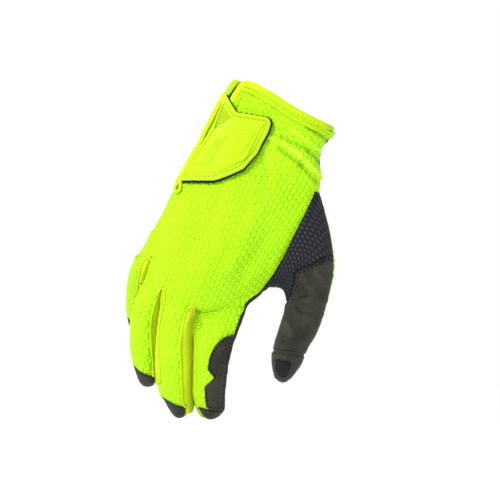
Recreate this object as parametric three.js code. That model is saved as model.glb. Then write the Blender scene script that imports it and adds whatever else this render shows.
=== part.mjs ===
import * as THREE from 'three';

// Sizes in millimetres. The back of the hand faces -Y, the fingers hang down along -Z.
const HAND_BREADTH = 90;
const PALM_LENGTH = 160;
const PALM_DEPTH = 36;
const FINGER_LENGTH = 85;
const THUMB_LENGTH = 102;
const HAND_LEAN = THREE.MathUtils.degToRad(22.7);
const KNIT_WALL = 1.3;
const SUEDE_WALL = 1.2;
const SEAM_GAP = 0.4;
const BINDING_RADIUS = 1.8;
const STRAP_BINDING_RADIUS = 1.3;
const BINDING_CLEARANCE = 0.3;
const TAB_THICK = 1.8;
const BACKING_THICK = 1.1;
const PATCH_THICK = 1.0;
const LAYER_CLEARANCE = 0.7;

// Mesh density: quads across each finger back, and rows above and beside the thumb opening.
const FINGER_COLUMNS = 6;
const BACK_COLUMNS = 4 * FINGER_COLUMNS;
const WRIST_ROWS = 5;
const THUMB_ROWS = 9;
const LAST_ROW = WRIST_ROWS + THUMB_ROWS;
const THUMB_TOP = 0.35;
const SIDE_ANGLE = 30;

// Palm sections from cuff (along 0) to finger forks (along 1), in shares of HAND_BREADTH
// to the thumb side of the middle line. The ends are where the section closes.
const PALM_ACROSS = [
  {
    along: 0.0, radialEnd: 0.467, radial: 0.428, forkA: 0.155,
    forkB: -0.09, forkC: -0.28, ulnar: -0.4, ulnarEnd: -0.437,
  },
  {
    along: 0.12, radialEnd: 0.445, radial: 0.405, forkA: 0.15,
    forkB: -0.095, forkC: -0.29, ulnar: -0.425, ulnarEnd: -0.46,
  },
  {
    along: 0.23, radialEnd: 0.508, radial: 0.46, forkA: 0.14,
    forkB: -0.1, forkC: -0.3, ulnar: -0.435, ulnarEnd: -0.469,
  },
  {
    along: 0.35, radialEnd: 0.566, radial: 0.52, forkA: 0.13,
    forkB: -0.11, forkC: -0.31, ulnar: -0.44, ulnarEnd: -0.477,
  },
  {
    along: 0.6, radialEnd: 0.645, radial: 0.491, forkA: 0.08,
    forkB: -0.155, forkC: -0.345, ulnar: -0.471, ulnarEnd: -0.506,
  },
  {
    along: 0.85, radialEnd: 0.6, radial: 0.466, forkA: 0.035,
    forkB: -0.215, forkC: -0.385, ulnar: -0.49, ulnarEnd: -0.53,
  },
  {
    along: 1.0, radialEnd: 0.472, radial: 0.437, forkA: 0.002,
    forkB: -0.252, forkC: -0.411, ulnar: -0.528, ulnarEnd: -0.57,
  },
];

// How far the same points lie behind the cuff's middle plane, in shares of HAND_BREADTH,
// and the section's thickness as a share of PALM_DEPTH.
const PALM_BEHIND = [
  { along: 0.0, depth: 1.17, radial: 0, forkA: 0, forkB: 0, forkC: 0, ulnar: 0 },
  { along: 0.12, depth: 1.04, radial: 0, forkA: 0, forkB: 0, forkC: 0, ulnar: 0.01 },
  { along: 0.35, depth: 1.0, radial: 0.01, forkA: -0.01, forkB: -0.01, forkC: 0.01, ulnar: 0.035 },
  { along: 0.6, depth: 0.97, radial: 0.022, forkA: -0.022, forkB: -0.011, forkC: 0.039, ulnar: 0.089 },
  { along: 0.85, depth: 0.86, radial: 0.033, forkA: -0.022, forkB: 0.011, forkC: 0.09, ulnar: 0.167 },
  { along: 1.0, depth: 0.68, radial: 0.033, forkA: -0.011, forkB: 0.031, forkC: 0.116, ulnar: 0.211 },
];

// Cuff edge and fork line, in shares of PALM_LENGTH below the cuff's middle. The lean
// is how far the palm side of the fork line tips up, in degrees.
const PALM_ENDS = {
  cuff: { radial: 0.036, forkA: 0.026, forkB: 0.002, forkC: -0.008, ulnar: 0.009 },
  forks: { radial: 0.809, forkA: 0.999, forkB: 0.969, forkC: 0.857, ulnar: 0.87 },
  lean: { radial: 0, forkA: 0, forkB: 5, forkC: 12, ulnar: 14 },
};
const KEYS = ['radial', 'forkA', 'forkB', 'forkC', 'ulnar'];

// Soft folds on the back of the hand: from and to in shares (along the palm, across the
// breadth), rise and width in shares of PALM_DEPTH.
const FOLDS = [
  { fromAlong: 0.16, fromAcross: 0.02, toAlong: 0.31, toAcross: 0.53, rise: 0.045, width: 0.22 },
  { fromAlong: 0.26, fromAcross: 0.05, toAlong: 0.41, toAcross: 0.5, rise: -0.035, width: 0.22 },
  { fromAlong: 0.5, fromAcross: 0.16, toAlong: 0.8, toAcross: 0.12, rise: 0.05, width: 0.16 },
  { fromAlong: 0.52, fromAcross: -0.12, toAlong: 0.85, toAcross: -0.17, rise: -0.045, width: 0.16 },
  { fromAlong: 0.62, fromAcross: -0.3, toAlong: 0.84, toAcross: -0.33, rise: 0.045, width: 0.14 },
];

// Finger sections: down in shares of FINGER_LENGTH, the rest in shares of HAND_BREADTH
// from the finger's root; roll in degrees turns the back of the finger outwards. The slant
// tips the seam round the finger's end down on the thumb side. The seams of the back lie
// at so many degrees from the finger's two sides.
const FINGERS = [
  {
    name: 'index', knitEnds: 0.9, slant: 0.25, reach: 0.995, rows: [
      { down: 0.0, side: 0.0, behind: 0.0, half: 0.2, deep: 0.15, roll: -6 },
      { down: 0.106, side: -0.05, behind: 0.0, half: 0.195, deep: 0.145, roll: -6 },
      { down: 0.382, side: -0.107, behind: 0.012, half: 0.153, deep: 0.132, roll: -6 },
      { down: 0.679, side: -0.129, behind: 0.05, half: 0.126, deep: 0.12, roll: -6 },
      { down: 0.89, side: -0.133, behind: 0.095, half: 0.119, deep: 0.108, roll: -6 },
      { down: 1.0, side: -0.112, behind: 0.12, half: 0.115, deep: 0.1, roll: -6 },
    ],
  },
  {
    name: 'middle', knitEnds: 0.875, slant: 0.5, reach: 0.985, rows: [
      { down: 0.0, side: 0.0, behind: 0.0, half: 0.148, deep: 0.13, roll: 14 },
      { down: 0.116, side: -0.006, behind: 0.0, half: 0.147, deep: 0.13, roll: 22 },
      { down: 0.42, side: -0.023, behind: 0.035, half: 0.147, deep: 0.125, roll: 26 },
      { down: 0.63, side: -0.029, behind: 0.075, half: 0.142, deep: 0.12, roll: 26 },
      { down: 0.81, side: -0.014, behind: 0.12, half: 0.126, deep: 0.11, roll: 22 },
      { down: 1.0, side: 0.025, behind: 0.17, half: 0.104, deep: 0.098, roll: 18 },
    ],
    seams: [
      { down: 0.0, radial: 30, ulnar: 30 },
      { down: 0.1, radial: 66, ulnar: 30 },
      { down: 0.2, radial: 58, ulnar: 30 },
      { down: 0.42, radial: 54, ulnar: 30 },
      { down: 1.0, radial: 54, ulnar: 30 },
    ],
  },
  {
    name: 'ring', knitEnds: 0.87, slant: 0.5, reach: 0.975, rows: [
      { down: 0.0, side: 0.0, behind: 0.0, half: 0.13, deep: 0.13, roll: 33 },
      { down: 0.17, side: -0.072, behind: 0.055, half: 0.13, deep: 0.122, roll: 33 },
      { down: 0.35, side: -0.132, behind: 0.125, half: 0.132, deep: 0.118, roll: 32 },
      { down: 0.6, side: -0.15, behind: 0.195, half: 0.13, deep: 0.115, roll: 30 },
      { down: 0.8, side: -0.145, behind: 0.25, half: 0.116, deep: 0.105, roll: 26 },
      { down: 1.0, side: -0.118, behind: 0.3, half: 0.1, deep: 0.092, roll: 24 },
    ],
    seams: [
      { down: 0.0, radial: 30, ulnar: 30 },
      { down: 0.1, radial: 38, ulnar: 95 },
      { down: 0.2, radial: 38, ulnar: 70 },
      { down: 0.42, radial: 36, ulnar: 30 },
      { down: 1.0, radial: 36, ulnar: 30 },
    ],
  },
  {
    name: 'pinky', knitEnds: 0.87, slant: 0.4, reach: 0.63, rows: [
      { down: 0.0, side: 0.0, behind: 0.0, half: 0.11, deep: 0.11, roll: 55 },
      { down: 0.25, side: -0.08, behind: 0.13, half: 0.112, deep: 0.108, roll: 52 },
      { down: 0.5, side: -0.112, behind: 0.25, half: 0.11, deep: 0.105, roll: 48 },
      { down: 0.75, side: -0.125, behind: 0.37, half: 0.104, deep: 0.1, roll: 44 },
      { down: 1.0, side: -0.13, behind: 0.47, half: 0.095, deep: 0.09, roll: 40 },
    ],
  },
];
const PLAIN_SEAMS = [
  { down: 0.0, radial: SIDE_ANGLE, ulnar: SIDE_ANGLE },
  { down: 1.0, radial: SIDE_ANGLE, ulnar: SIDE_ANGLE },
];
const FINGER_RINGS = [0.1, 0.2, 0.31, 0.42, 0.53, 0.64, 0.74, 0.83, 0.9, 0.955, 0.985];
const ROOT_WEIGHTS = [0.7, 0.35, 0.1];
const KNIT_END_RING = 8;
const TIP_ROUNDS_FROM = 0.84;

// Thumb sections from its opening in the palm: side, half, behind, deep and bow in shares
// of HAND_BREADTH, down in shares of THUMB_LENGTH, turn in degrees.
const THUMB = [
  { down: 0.037, side: 0.054, half: 0.408, turn: 56.6, bow: 0.02, behind: 0.025, deep: 0.19 },
  { down: 0.098, side: 0.103, half: 0.336, turn: 52.1, bow: 0.035, behind: 0.035, deep: 0.19 },
  { down: 0.18, side: 0.144, half: 0.275, turn: 45.8, bow: 0.06, behind: 0.05, deep: 0.187 },
  { down: 0.284, side: 0.167, half: 0.234, turn: 35.8, bow: 0.1, behind: 0.065, deep: 0.18 },
  { down: 0.357, side: 0.158, half: 0.206, turn: 26.4, bow: 0.08, behind: 0.08, deep: 0.17 },
  { down: 0.431, side: 0.138, half: 0.18, turn: 15.8, bow: 0.05, behind: 0.09, deep: 0.157 },
  { down: 0.514, side: 0.113, half: 0.163, turn: 4.9, bow: 0.025, behind: 0.1, deep: 0.148 },
  { down: 0.589, side: 0.084, half: 0.157, turn: -2.0, bow: 0.01, behind: 0.11, deep: 0.14 },
  { down: 0.658, side: 0.054, half: 0.15, turn: -5.3, bow: 0, behind: 0.12, deep: 0.134 },
  { down: 0.715, side: 0.025, half: 0.141, turn: -6.0, bow: 0, behind: 0.13, deep: 0.13 },
  { down: 0.788, side: -0.001, half: 0.133, turn: -8.4, bow: 0, behind: 0.14, deep: 0.124 },
  { down: 0.844, side: -0.014, half: 0.124, turn: -7.4, bow: 0, behind: 0.148, deep: 0.115 },
  { down: 0.903, side: -0.028, half: 0.101, turn: -3.0, bow: 0, behind: 0.156, deep: 0.095 },
  { down: 0.964, side: -0.045, half: 0.066, turn: -1.5, bow: 0, behind: 0.162, deep: 0.062 },
];
const MESH_RINGS = 4;
const PAD_RINGS = 11;
const THUMB_TIP_BULGE = 0.035;

// The slit in the cuff that the strap closes: columns and rows left out of the back.
const SLIT = { firstColumn: 20, lastColumn: 22, rows: 2 };

// Outlines of the layers on top, as corners in shares: along the palm, finger or thumb,
// and around its back from the thumb side (0) to the little finger side (1).
const TAB_CORNERS = [
  { along: 0.07, around: 0.95 },
  { along: 0.15, around: 0.726 },
  { along: 0.083, around: 0.452 },
  { along: 0.088, around: 0.417 },
  { along: 0.102, around: 0.403 },
  { along: 0.148, around: 0.393 },
  { along: 0.236, around: 0.401 },
  { along: 0.305, around: 0.429 },
  { along: 0.343, around: 0.444 },
  { along: 0.352, around: 0.455 },
  { along: 0.4, around: 0.508 },
  { along: 0.472, around: 0.586 },
  { along: 0.505, around: 0.64 },
  { along: 0.542, around: 0.707 },
  { along: 0.57, around: 0.791 },
  { along: 0.58, around: 0.9 },
  { along: 0.55, around: 0.935 },
  { along: 0.496, around: 0.935 },
  { along: 0.302, around: 0.901 },
  { along: 0.261, around: 0.89 },
  { along: 0.19, around: 0.91 },
];
const INDEX_PATCH_CORNERS = [
  { along: 0.85, around: 0.12 },
  { along: 0.864, around: 0.41 },
  { along: 0.86, around: 0.665 },
  { along: 0.713, around: 0.71 },
  { along: 0.625, around: 0.45 },
  { along: 0.562, around: 0.638 },
  { along: 0.462, around: 0.609 },
  { along: 0.379, around: 0.525 },
  { along: 0.286, around: 0.348 },
  { along: 0.24, around: 0.055 },
];
const TOUCH_PATCH_CORNERS = [
  { along: 10.87, around: 0.76 },
  { along: 11.0, around: 0.31 },
  { along: 12.09, around: 0.25 },
  { along: 12.6, around: 0.25 },
  { along: 12.6, around: 0.65 },
  { along: 11.96, around: 0.8 },
];
const BACKING_GROWS = 1.03;
const PLATE_RINGS = [0.8, 0.6, 0.4, 0.2];
const OUTLINE_STEP = 4.8;
const TUBE_SIDES = 8;
const STRAP_BINDING_STEPS = 19;

// The rolled edge of the strap ends in a knob: its last two radii, as shares of the roll's.
const STRAP_KNOB = [1.9, 0.8];

// The binding's path up one side of the slit, sunk under the strap by shares of its radius.
const SLIT_PATH = [
  { along: 0.105, sink: 0.83 },
  { along: 0.07, sink: 0.5 },
  { along: 0.035, sink: 0.11 },
];

const KNIT = new THREE.MeshStandardMaterial({ name: 'knit', color: 0xbeff00, roughness: 0.9 });
const GUSSET = new THREE.MeshStandardMaterial({ name: 'gusset', color: 0xd2f000, roughness: 0.8 });
const MOULDED = new THREE.MeshStandardMaterial({ name: 'moulded', color: 0xd8ff00, roughness: 0.5 });
const SUEDE = new THREE.MeshStandardMaterial({ name: 'suede', color: 0x41413a, roughness: 0.95 });
const SPACER = new THREE.MeshStandardMaterial({ name: 'spacer', color: 0x2d303a, roughness: 0.85 });
const BLACK = new THREE.MeshStandardMaterial({ name: 'black', color: 0x1c1e20, roughness: 0.8 });

// The value of a table's column between its rows, on a smooth curve through them.
function curve(rows, by, at, column) {
  let i = 0;
  while (i < rows.length - 2 && at > rows[i + 1][by]) {
    i += 1;
  }
  const slope = (k) => {
    const before = rows[Math.max(k - 1, 0)];
    const after = rows[Math.min(k + 1, rows.length - 1)];
    return (after[column] - before[column]) / (after[by] - before[by]);
  };
  const span = rows[i + 1][by] - rows[i][by];
  const t = (at - rows[i][by]) / span;
  const start = rows[i][column];
  const rise = rows[i + 1][column] - start;
  const bend = (1 - t) * (slope(i) * span - rise) - t * (slope(i + 1) * span - rise);
  return start + rise * t + t * (1 - t) * bend;
}

// The value at a column of the palm, on a smooth curve through the five named lines.
function acrossKeys(valueOf, column) {
  const rows = KEYS.map((key, i) => ({ at: i * FINGER_COLUMNS, value: valueOf(key) }));
  return curve(rows, 'at', column, 'value');
}

function ease(value) {
  const t = THREE.MathUtils.clamp(value, 0, 1);
  return t * t * (3 - 2 * t);
}

// A point of the palm's own axes, in the part's frame.
function fromPalm(across, behind, down) {
  return new THREE.Vector3(
    across * Math.cos(HAND_LEAN) - down * Math.sin(HAND_LEAN),
    behind,
    -across * Math.sin(HAND_LEAN) - down * Math.cos(HAND_LEAN),
  );
}

// The middle line of a palm section, half way between back and palm.
function middleLine(along, column) {
  return new THREE.Vector2(
    HAND_BREADTH * acrossKeys((key) => curve(PALM_ACROSS, 'along', along, key), column),
    HAND_BREADTH * acrossKeys((key) => curve(PALM_BEHIND, 'along', along, key), column),
  );
}

// The direction of the middle line, from the thumb side to the little finger side.
function middleRun(along, column) {
  const before = middleLine(along, Math.max(column - 0.5, 0));
  return middleLine(along, Math.min(column + 0.5, BACK_COLUMNS)).sub(before).normalize();
}

// Half the thickness of a palm section, round towards its two ends.
function halfDepth(along, across) {
  const radialEnd = HAND_BREADTH * curve(PALM_ACROSS, 'along', along, 'radialEnd');
  const ulnarEnd = HAND_BREADTH * curve(PALM_ACROSS, 'along', along, 'ulnarEnd');
  const out = Math.abs((2 * across - radialEnd - ulnarEnd) / (radialEnd - ulnarEnd));
  const depth = PALM_DEPTH * curve(PALM_BEHIND, 'along', along, 'depth');
  return (depth / 2) * (1 - Math.min(out, 0.97) ** 2.5) ** 0.4;
}

// How far the folds lift the back of the hand.
function foldLift(along, across) {
  const place = new THREE.Vector2(along * PALM_LENGTH, across);
  return FOLDS.reduce((lift, fold) => {
    const from = new THREE.Vector2(fold.fromAlong * PALM_LENGTH, fold.fromAcross * HAND_BREADTH);
    const to = new THREE.Vector2(fold.toAlong * PALM_LENGTH, fold.toAcross * HAND_BREADTH);
    const run = to.clone().sub(from);
    const t = THREE.MathUtils.clamp(place.clone().sub(from).dot(run) / run.lengthSq(), 0, 1);
    const away = place.distanceTo(from.addScaledVector(run, t)) / (fold.width * PALM_DEPTH);
    return lift + fold.rise * PALM_DEPTH * Math.exp(-away * away);
  }, 0);
}

// A point of the palm: face is -1 on the back, 1 on the palm side, 0 on the middle line.
function palmPoint(along, column, face, beyond = 0) {
  const middle = middleLine(along, column);
  const run = middleRun(along, column);
  const half = halfDepth(along, middle.x);
  const lift = face * half - (face < 0 ? foldLift(along, middle.x) : 0);
  const cuff = acrossKeys((key) => PALM_ENDS.cuff[key], column);
  const forks = acrossKeys((key) => PALM_ENDS.forks[key], column);
  const lean = THREE.MathUtils.degToRad(acrossKeys((key) => PALM_ENDS.lean[key], column));
  const tip = ease(2 * along - 1) * Math.tan(lean) * half * (1 + face);
  const down = PALM_LENGTH * (cuff + (forks - cuff) * along) - tip;
  return fromPalm(
    middle.x + run.y * lift + run.x * beyond,
    middle.y - run.x * lift + run.y * beyond,
    down,
  );
}

// The point where a palm section closes, at its thumb side or its little finger side.
function palmEnd(along, side) {
  const column = side === 'radial' ? 0 : BACK_COLUMNS;
  const end = curve(PALM_ACROSS, 'along', along, `${side}End`);
  const reach = HAND_BREADTH * Math.abs(end - curve(PALM_ACROSS, 'along', along, side));
  return palmPoint(along, column, 0, side === 'radial' ? -reach : reach);
}

function fingerCentre(finger, root, down) {
  const value = (column) => HAND_BREADTH * curve(finger.rows, 'down', down, column);
  const drop = new THREE.Vector3(value('side'), value('behind'), 0);
  drop.z = -down * finger.reach * FINGER_LENGTH;
  return drop.add(root);
}

// A section of a finger: its centre, the directions to its thumb side and palm side, and
// its half breadth and half depth.
function fingerSection(finger, root, down) {
  const centre = fingerCentre(finger, root, down);
  const ahead = fingerCentre(finger, root, Math.min(down + 0.03, 1));
  const along = ahead.sub(fingerCentre(finger, root, Math.max(down - 0.03, 0))).normalize();
  const behind = new THREE.Vector3(0, 1, 0);
  behind.addScaledVector(along, -behind.dot(along)).normalize();
  const roll = THREE.MathUtils.degToRad(curve(finger.rows, 'down', down, 'roll'));
  const palmwards = behind.applyAxisAngle(along, roll);
  const past = Math.max(down - TIP_ROUNDS_FROM, 0) / (1 - TIP_ROUNDS_FROM);
  const round = Math.max(1 - past ** 2.5, 0) ** 0.4;
  const slant = finger.slant * ease((down - 0.5) / 0.35) * ease((1 - down) / 0.12);
  return {
    centre,
    along,
    radial: along.clone().cross(palmwards),
    palmwards,
    half: HAND_BREADTH * curve(finger.rows, 'down', down, 'half') * round,
    deep: HAND_BREADTH * curve(finger.rows, 'down', down, 'deep') * round,
    slant,
    seams: ['radial', 'ulnar'].map((side) => curve(finger.seams ?? PLAIN_SEAMS, 'down', down, side)),
  };
}

// A section of the thumb at a row of its table.
function thumbSection(middle, row) {
  const places = THUMB.map((entry, at) => ({ ...entry, at }));
  const value = (column) => curve(places, 'at', row, column);
  const turn = THREE.MathUtils.degToRad(value('turn'));
  const centre = new THREE.Vector3(
    HAND_BREADTH * value('side'),
    HAND_BREADTH * value('behind'),
    -THUMB_LENGTH * value('down'),
  );
  const radial = new THREE.Vector3(Math.cos(turn), 0, Math.sin(turn));
  return {
    centre: centre.add(middle),
    along: new THREE.Vector3(Math.sin(turn), 0, -Math.cos(turn)),
    radial,
    palmwards: new THREE.Vector3(0, 1, 0),
    half: HAND_BREADTH * value('half'),
    deep: HAND_BREADTH * value('deep'),
    bow: HAND_BREADTH * value('bow'),
  };
}

// A point on a section, at an angle from its thumb side over its back.
function sectionPoint(section, degrees) {
  const angle = THREE.MathUtils.degToRad(degrees);
  const point = section.centre.clone();
  point.addScaledVector(section.radial, section.half * Math.cos(angle));
  point.addScaledVector(section.palmwards, -section.deep * Math.sin(angle));
  const bow = (section.bow ?? 0) * Math.max(Math.sin(angle), 0);
  const slant = (section.slant ?? 0) * section.half * Math.cos(angle);
  return point.addScaledVector(section.along, slant - bow);
}

// The angle of a back column: 0 is the thumb side seam, 1 the little finger side seam.
function backAngle(around, [radial, ulnar] = [SIDE_ANGLE, SIDE_ANGLE]) {
  return radial + around * (180 - radial - ulnar);
}

// One row of points round a finger or thumb, in the order that all rows have. Near the
// root it keeps part of the root's own shape.
function sectionLoop(cage, section, columns, root) {
  const place = (degrees, from) => {
    const point = sectionPoint(section, degrees);
    if (root) {
      const own = cage.points[from].clone().sub(root.centre).multiplyScalar(root.scale);
      point.lerp(own.add(section.centre), root.weight);
    }
    return cage.add(point);
  };
  const steps = Array.from({ length: columns + 1 }, (_, i) => i / columns);
  return {
    back: steps.map((t, i) => place(backAngle(t, section.seams), root?.loop.back[i])),
    ulnar: place(180, root?.loop.ulnar),
    palm: steps.map((t, i) => place(-backAngle(t, section.seams), root?.loop.palm[i])),
    radial: place(0, root?.loop.radial),
  };
}

// The glove's outer surface: points, and four-sided faces that each name their piece.
class Cage {
  constructor() {
    this.points = [];
    this.faces = [];
    this.facing = new Map();
  }

  add(point) {
    this.points.push(point);
    return this.points.length - 1;
  }

  face(piece, corners) {
    if (piece) {
      this.faces.push({ piece, corners });
    }
  }

  // Joins two loops of equal length. The piece is chosen by the part of the loop.
  band(upper, lower, pieceOf) {
    upper.back.slice(1).forEach((point, i) => {
      this.face(pieceOf('back', i), [upper.back[i], point, lower.back[i + 1], lower.back[i]]);
      this.face(pieceOf('palm', i), [upper.palm[i + 1], upper.palm[i], lower.palm[i], lower.palm[i + 1]]);
    });
    const [ub, up] = [upper.back.at(-1), upper.palm.at(-1)];
    const [lb, lp] = [lower.back.at(-1), lower.palm.at(-1)];
    this.face(pieceOf('ulnar', 0), [ub, upper.ulnar, lower.ulnar, lb]);
    this.face(pieceOf('ulnar', 1), [upper.ulnar, up, lp, lower.ulnar]);
    this.radialBand(upper, lower, pieceOf);
  }

  radialBand(upper, lower, pieceOf) {
    if (upper.radial === undefined || lower.radial === undefined) {
      return;
    }
    this.face(pieceOf('radial', 0), [upper.radial, upper.back[0], lower.back[0], lower.radial]);
    this.face(pieceOf('radial', 1), [upper.palm[0], upper.radial, lower.radial, lower.palm[0]]);
  }

  // Closes a tip with two rows of faces over a bulged middle line.
  cap(loop, piece, bulge) {
    const last = loop.back.length - 1;
    const middle = loop.back.map((point, i) => {
      if (i === 0) {
        return loop.radial;
      }
      if (i === last) {
        return loop.ulnar;
      }
      const between = this.points[point].clone().add(this.points[loop.palm[i]]).multiplyScalar(0.5);
      return this.add(between.addScaledVector(bulge, Math.sin((Math.PI * i) / last)));
    });
    for (let i = 0; i < last; i += 1) {
      this.face(piece, [loop.back[i], loop.back[i + 1], middle[i + 1], middle[i]]);
      this.face(piece, [middle[i], middle[i + 1], loop.palm[i + 1], loop.palm[i]]);
    }
  }

  faceNormal(face) {
    const [a, b, c, d] = face.corners.map((i) => this.points[i]);
    return c.clone().sub(a).cross(d.clone().sub(b));
  }

  normals() {
    const sums = this.points.map(() => new THREE.Vector3());
    this.faces.forEach((face) => {
      const normal = this.faceNormal(face);
      face.corners.forEach((i) => sums[i].add(normal));
    });
    this.facing.forEach((direction, i) => sums[i].normalize().add(direction));
    return sums.map((sum) => sum.normalize());
  }
}

function palmLoops(cage) {
  const columns = Array.from({ length: BACK_COLUMNS + 1 }, (_, i) => i);
  return Array.from({ length: LAST_ROW + 1 }, (_, row) => {
    const above = (THUMB_TOP * row) / WRIST_ROWS;
    const beside = THUMB_TOP + ((1 - THUMB_TOP) * (row - WRIST_ROWS)) / THUMB_ROWS;
    const along = row < WRIST_ROWS ? above : beside;
    const closed = row <= WRIST_ROWS || row === LAST_ROW;
    return {
      back: columns.map((column) => cage.add(palmPoint(along, column, -1))),
      ulnar: cage.add(palmEnd(along, 'ulnar')),
      palm: columns.map((column) => cage.add(palmPoint(along, column, 1))),
      radial: closed ? cage.add(palmEnd(along, 'radial')) : undefined,
    };
  });
}

function inSlit(row, column) {
  return row < SLIT.rows && column >= SLIT.firstColumn && column <= SLIT.lastColumn;
}

function palmBands(cage, loops) {
  loops.slice(1).forEach((lower, row) => {
    cage.band(loops[row], lower, (part, i) => {
      if (part === 'back') {
        return inSlit(row, i) ? null : 'back_panel';
      }
      return part !== 'palm' && i === 0 ? 'back_panel' : 'palm_panel';
    });
  });
}

// The loop where a finger leaves the palm, with the middle points of the forks beside it.
function fingerRoot(last, forks, index) {
  const from = index * FINGER_COLUMNS;
  return {
    back: last.back.slice(from, from + FINGER_COLUMNS + 1),
    ulnar: forks[index + 1],
    palm: last.palm.slice(from, from + FINGER_COLUMNS + 1),
    radial: forks[index],
  };
}

function loopCentre(cage, loop) {
  const all = [...loop.back, ...loop.palm];
  const sum = all.reduce((total, i) => total.add(cage.points[i]), new THREE.Vector3());
  return sum.divideScalar(all.length);
}

function gussetName(index) {
  return `gusset_${FINGERS[index].name}_${FINGERS[index + 1].name}`;
}

function fingerPiece(index, part, half) {
  if (part === 'back') {
    return 'back_panel';
  }
  if (part === 'ulnar' && index < 3) {
    return gussetName(index);
  }
  if (part === 'radial' && index > 0) {
    return gussetName(index - 1);
  }
  return part === 'ulnar' && half === 0 ? 'back_panel' : 'palm_panel';
}

function addFinger(cage, root, index) {
  const finger = FINGERS[index];
  const centre = loopCentre(cage, root);
  const breadth = cage.points[root.radial].distanceTo(cage.points[root.ulnar]);
  let upper = root;
  FINGER_RINGS.forEach((share, ring) => {
    const down = ring === KNIT_END_RING ? finger.knitEnds : share;
    const section = fingerSection(finger, centre, down);
    const near = {
      loop: root,
      centre,
      scale: (2 * section.half) / breadth,
      weight: ROOT_WEIGHTS[ring],
    };
    const lower = sectionLoop(cage, section, FINGER_COLUMNS, near.weight ? near : undefined);
    cage.band(upper, lower, (part, half) => {
      const piece = fingerPiece(index, part, half);
      return ring > KNIT_END_RING && piece === 'back_panel' ? 'palm_panel' : piece;
    });
    upper = lower;
  });
  const end = fingerSection(finger, centre, FINGER_RINGS.at(-1));
  const bulge = (1 - FINGER_RINGS.at(-1)) * finger.reach * FINGER_LENGTH;
  cage.cap(upper, 'palm_panel', end.along.multiplyScalar(bulge));
  return centre;
}

function thumbPiece(ring, part, half) {
  if (ring >= PAD_RINGS) {
    return 'thumb_tip';
  }
  if (part === 'palm' || (part !== 'back' && half === 1)) {
    return 'thumb_back';
  }
  return ring < MESH_RINGS ? 'thumb_mesh' : 'thumb_pad';
}

function addThumb(cage, loops) {
  const beside = loops.slice(WRIST_ROWS);
  const root = {
    back: beside.map((loop) => loop.back[0]),
    ulnar: loops[LAST_ROW].radial,
    palm: beside.map((loop) => loop.palm[0]),
    radial: loops[WRIST_ROWS].radial,
  };
  const middle = loopCentre(cage, root);
  let upper = root;
  THUMB.forEach((_, ring) => {
    const lower = sectionLoop(cage, thumbSection(middle, ring), THUMB_ROWS);
    cage.band(upper, lower, (part, half) => thumbPiece(ring, part, half));
    upper = lower;
  });
  const end = thumbSection(middle, THUMB.length - 1);
  cage.cap(upper, 'thumb_tip', end.along.multiplyScalar(THUMB_TIP_BULGE * THUMB_LENGTH));
  return middle;
}

// The edges of a piece that belong to one of its faces only.
function borderEdges(faces) {
  const edges = new Map();
  faces.forEach((face) => {
    face.corners.forEach((from, i) => {
      const to = face.corners[(i + 1) % 4];
      edges.set(`${from},${to}`, { from, to, face });
    });
  });
  return [...edges.values()].filter(({ from, to }) => !edges.has(`${to},${from}`));
}

// Moves the border points of a piece inwards, so that its neighbours stay clear of it.
function trimmedPoints(cage, faces, border) {
  const points = new Map();
  faces.forEach((face) => face.corners.forEach((i) => points.set(i, cage.points[i].clone())));
  const inwards = new Map();
  border.forEach(({ from, to, face }) => {
    const run = cage.points[to].clone().sub(cage.points[from]);
    const side = cage.faceNormal(face).normalize().cross(run).normalize();
    [from, to].forEach((i) => inwards.set(i, [...(inwards.get(i) ?? []), side]));
  });
  inwards.forEach((sides, i) => {
    const sum = sides.reduce((total, side) => total.add(side), new THREE.Vector3());
    const reach = SEAM_GAP / 2 / Math.max(sum.length() / sides.length, 0.45);
    points.get(i).addScaledVector(sum.normalize(), reach);
  });
  return points;
}

// Turns the faces of one piece into a closed wall of cloth, its outside on the cage.
function wallGeometry(cage, normals, piece, wall) {
  const faces = cage.faces.filter((face) => face.piece === piece);
  const border = borderEdges(faces);
  const outer = trimmedPoints(cage, faces, border);
  const order = new Map([...outer.keys()].map((key, i) => [key, i]));
  const count = order.size;
  const positions = [...outer.values()];
  const inner = [...outer].map(([key, point]) => point.clone().addScaledVector(normals[key], -wall));
  const index = [];
  faces.forEach(({ corners }) => {
    splitFace(corners, cage.points).forEach(([a, b, c]) => {
      const [i, j, k] = [order.get(a), order.get(b), order.get(c)];
      index.push(i, j, k, count + i, count + k, count + j);
    });
  });
  border.forEach(({ from, to }) => {
    const [i, j] = [order.get(from), order.get(to)];
    const last = from < to ? [j, count + i] : [i, count + j];
    index.push(i, count + i, from < to ? j : count + j);
    index.push(last[0], last[1], from < to ? count + j : j);
  });
  return geometryOf([...positions, ...inner], index);
}

// Splits a four-sided face along its shorter diagonal.
function splitFace([a, b, c, d], points) {
  const across = points[a].distanceTo(points[c]);
  if (across < points[b].distanceTo(points[d])) {
    return [[a, b, c], [a, c, d]];
  }
  return [[a, b, d], [b, c, d]];
}

function geometryOf(points, index) {
  const geometry = new THREE.BufferGeometry();
  const values = points.flatMap((point) => point.toArray());
  geometry.setAttribute('position', new THREE.Float32BufferAttribute(values, 3));
  geometry.setIndex(index);
  geometry.computeVertexNormals();
  return geometry;
}

// A point at a height over a surface that is given by two shares, measured square to it.
function raised(surface, along, around, height) {
  const step = 0.004;
  const point = surface(along, around);
  const down = surface(along + step, around).sub(surface(along - step, around));
  const across = surface(along, around + step).sub(surface(along, around - step));
  return point.addScaledVector(across.cross(down).normalize(), height);
}

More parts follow.
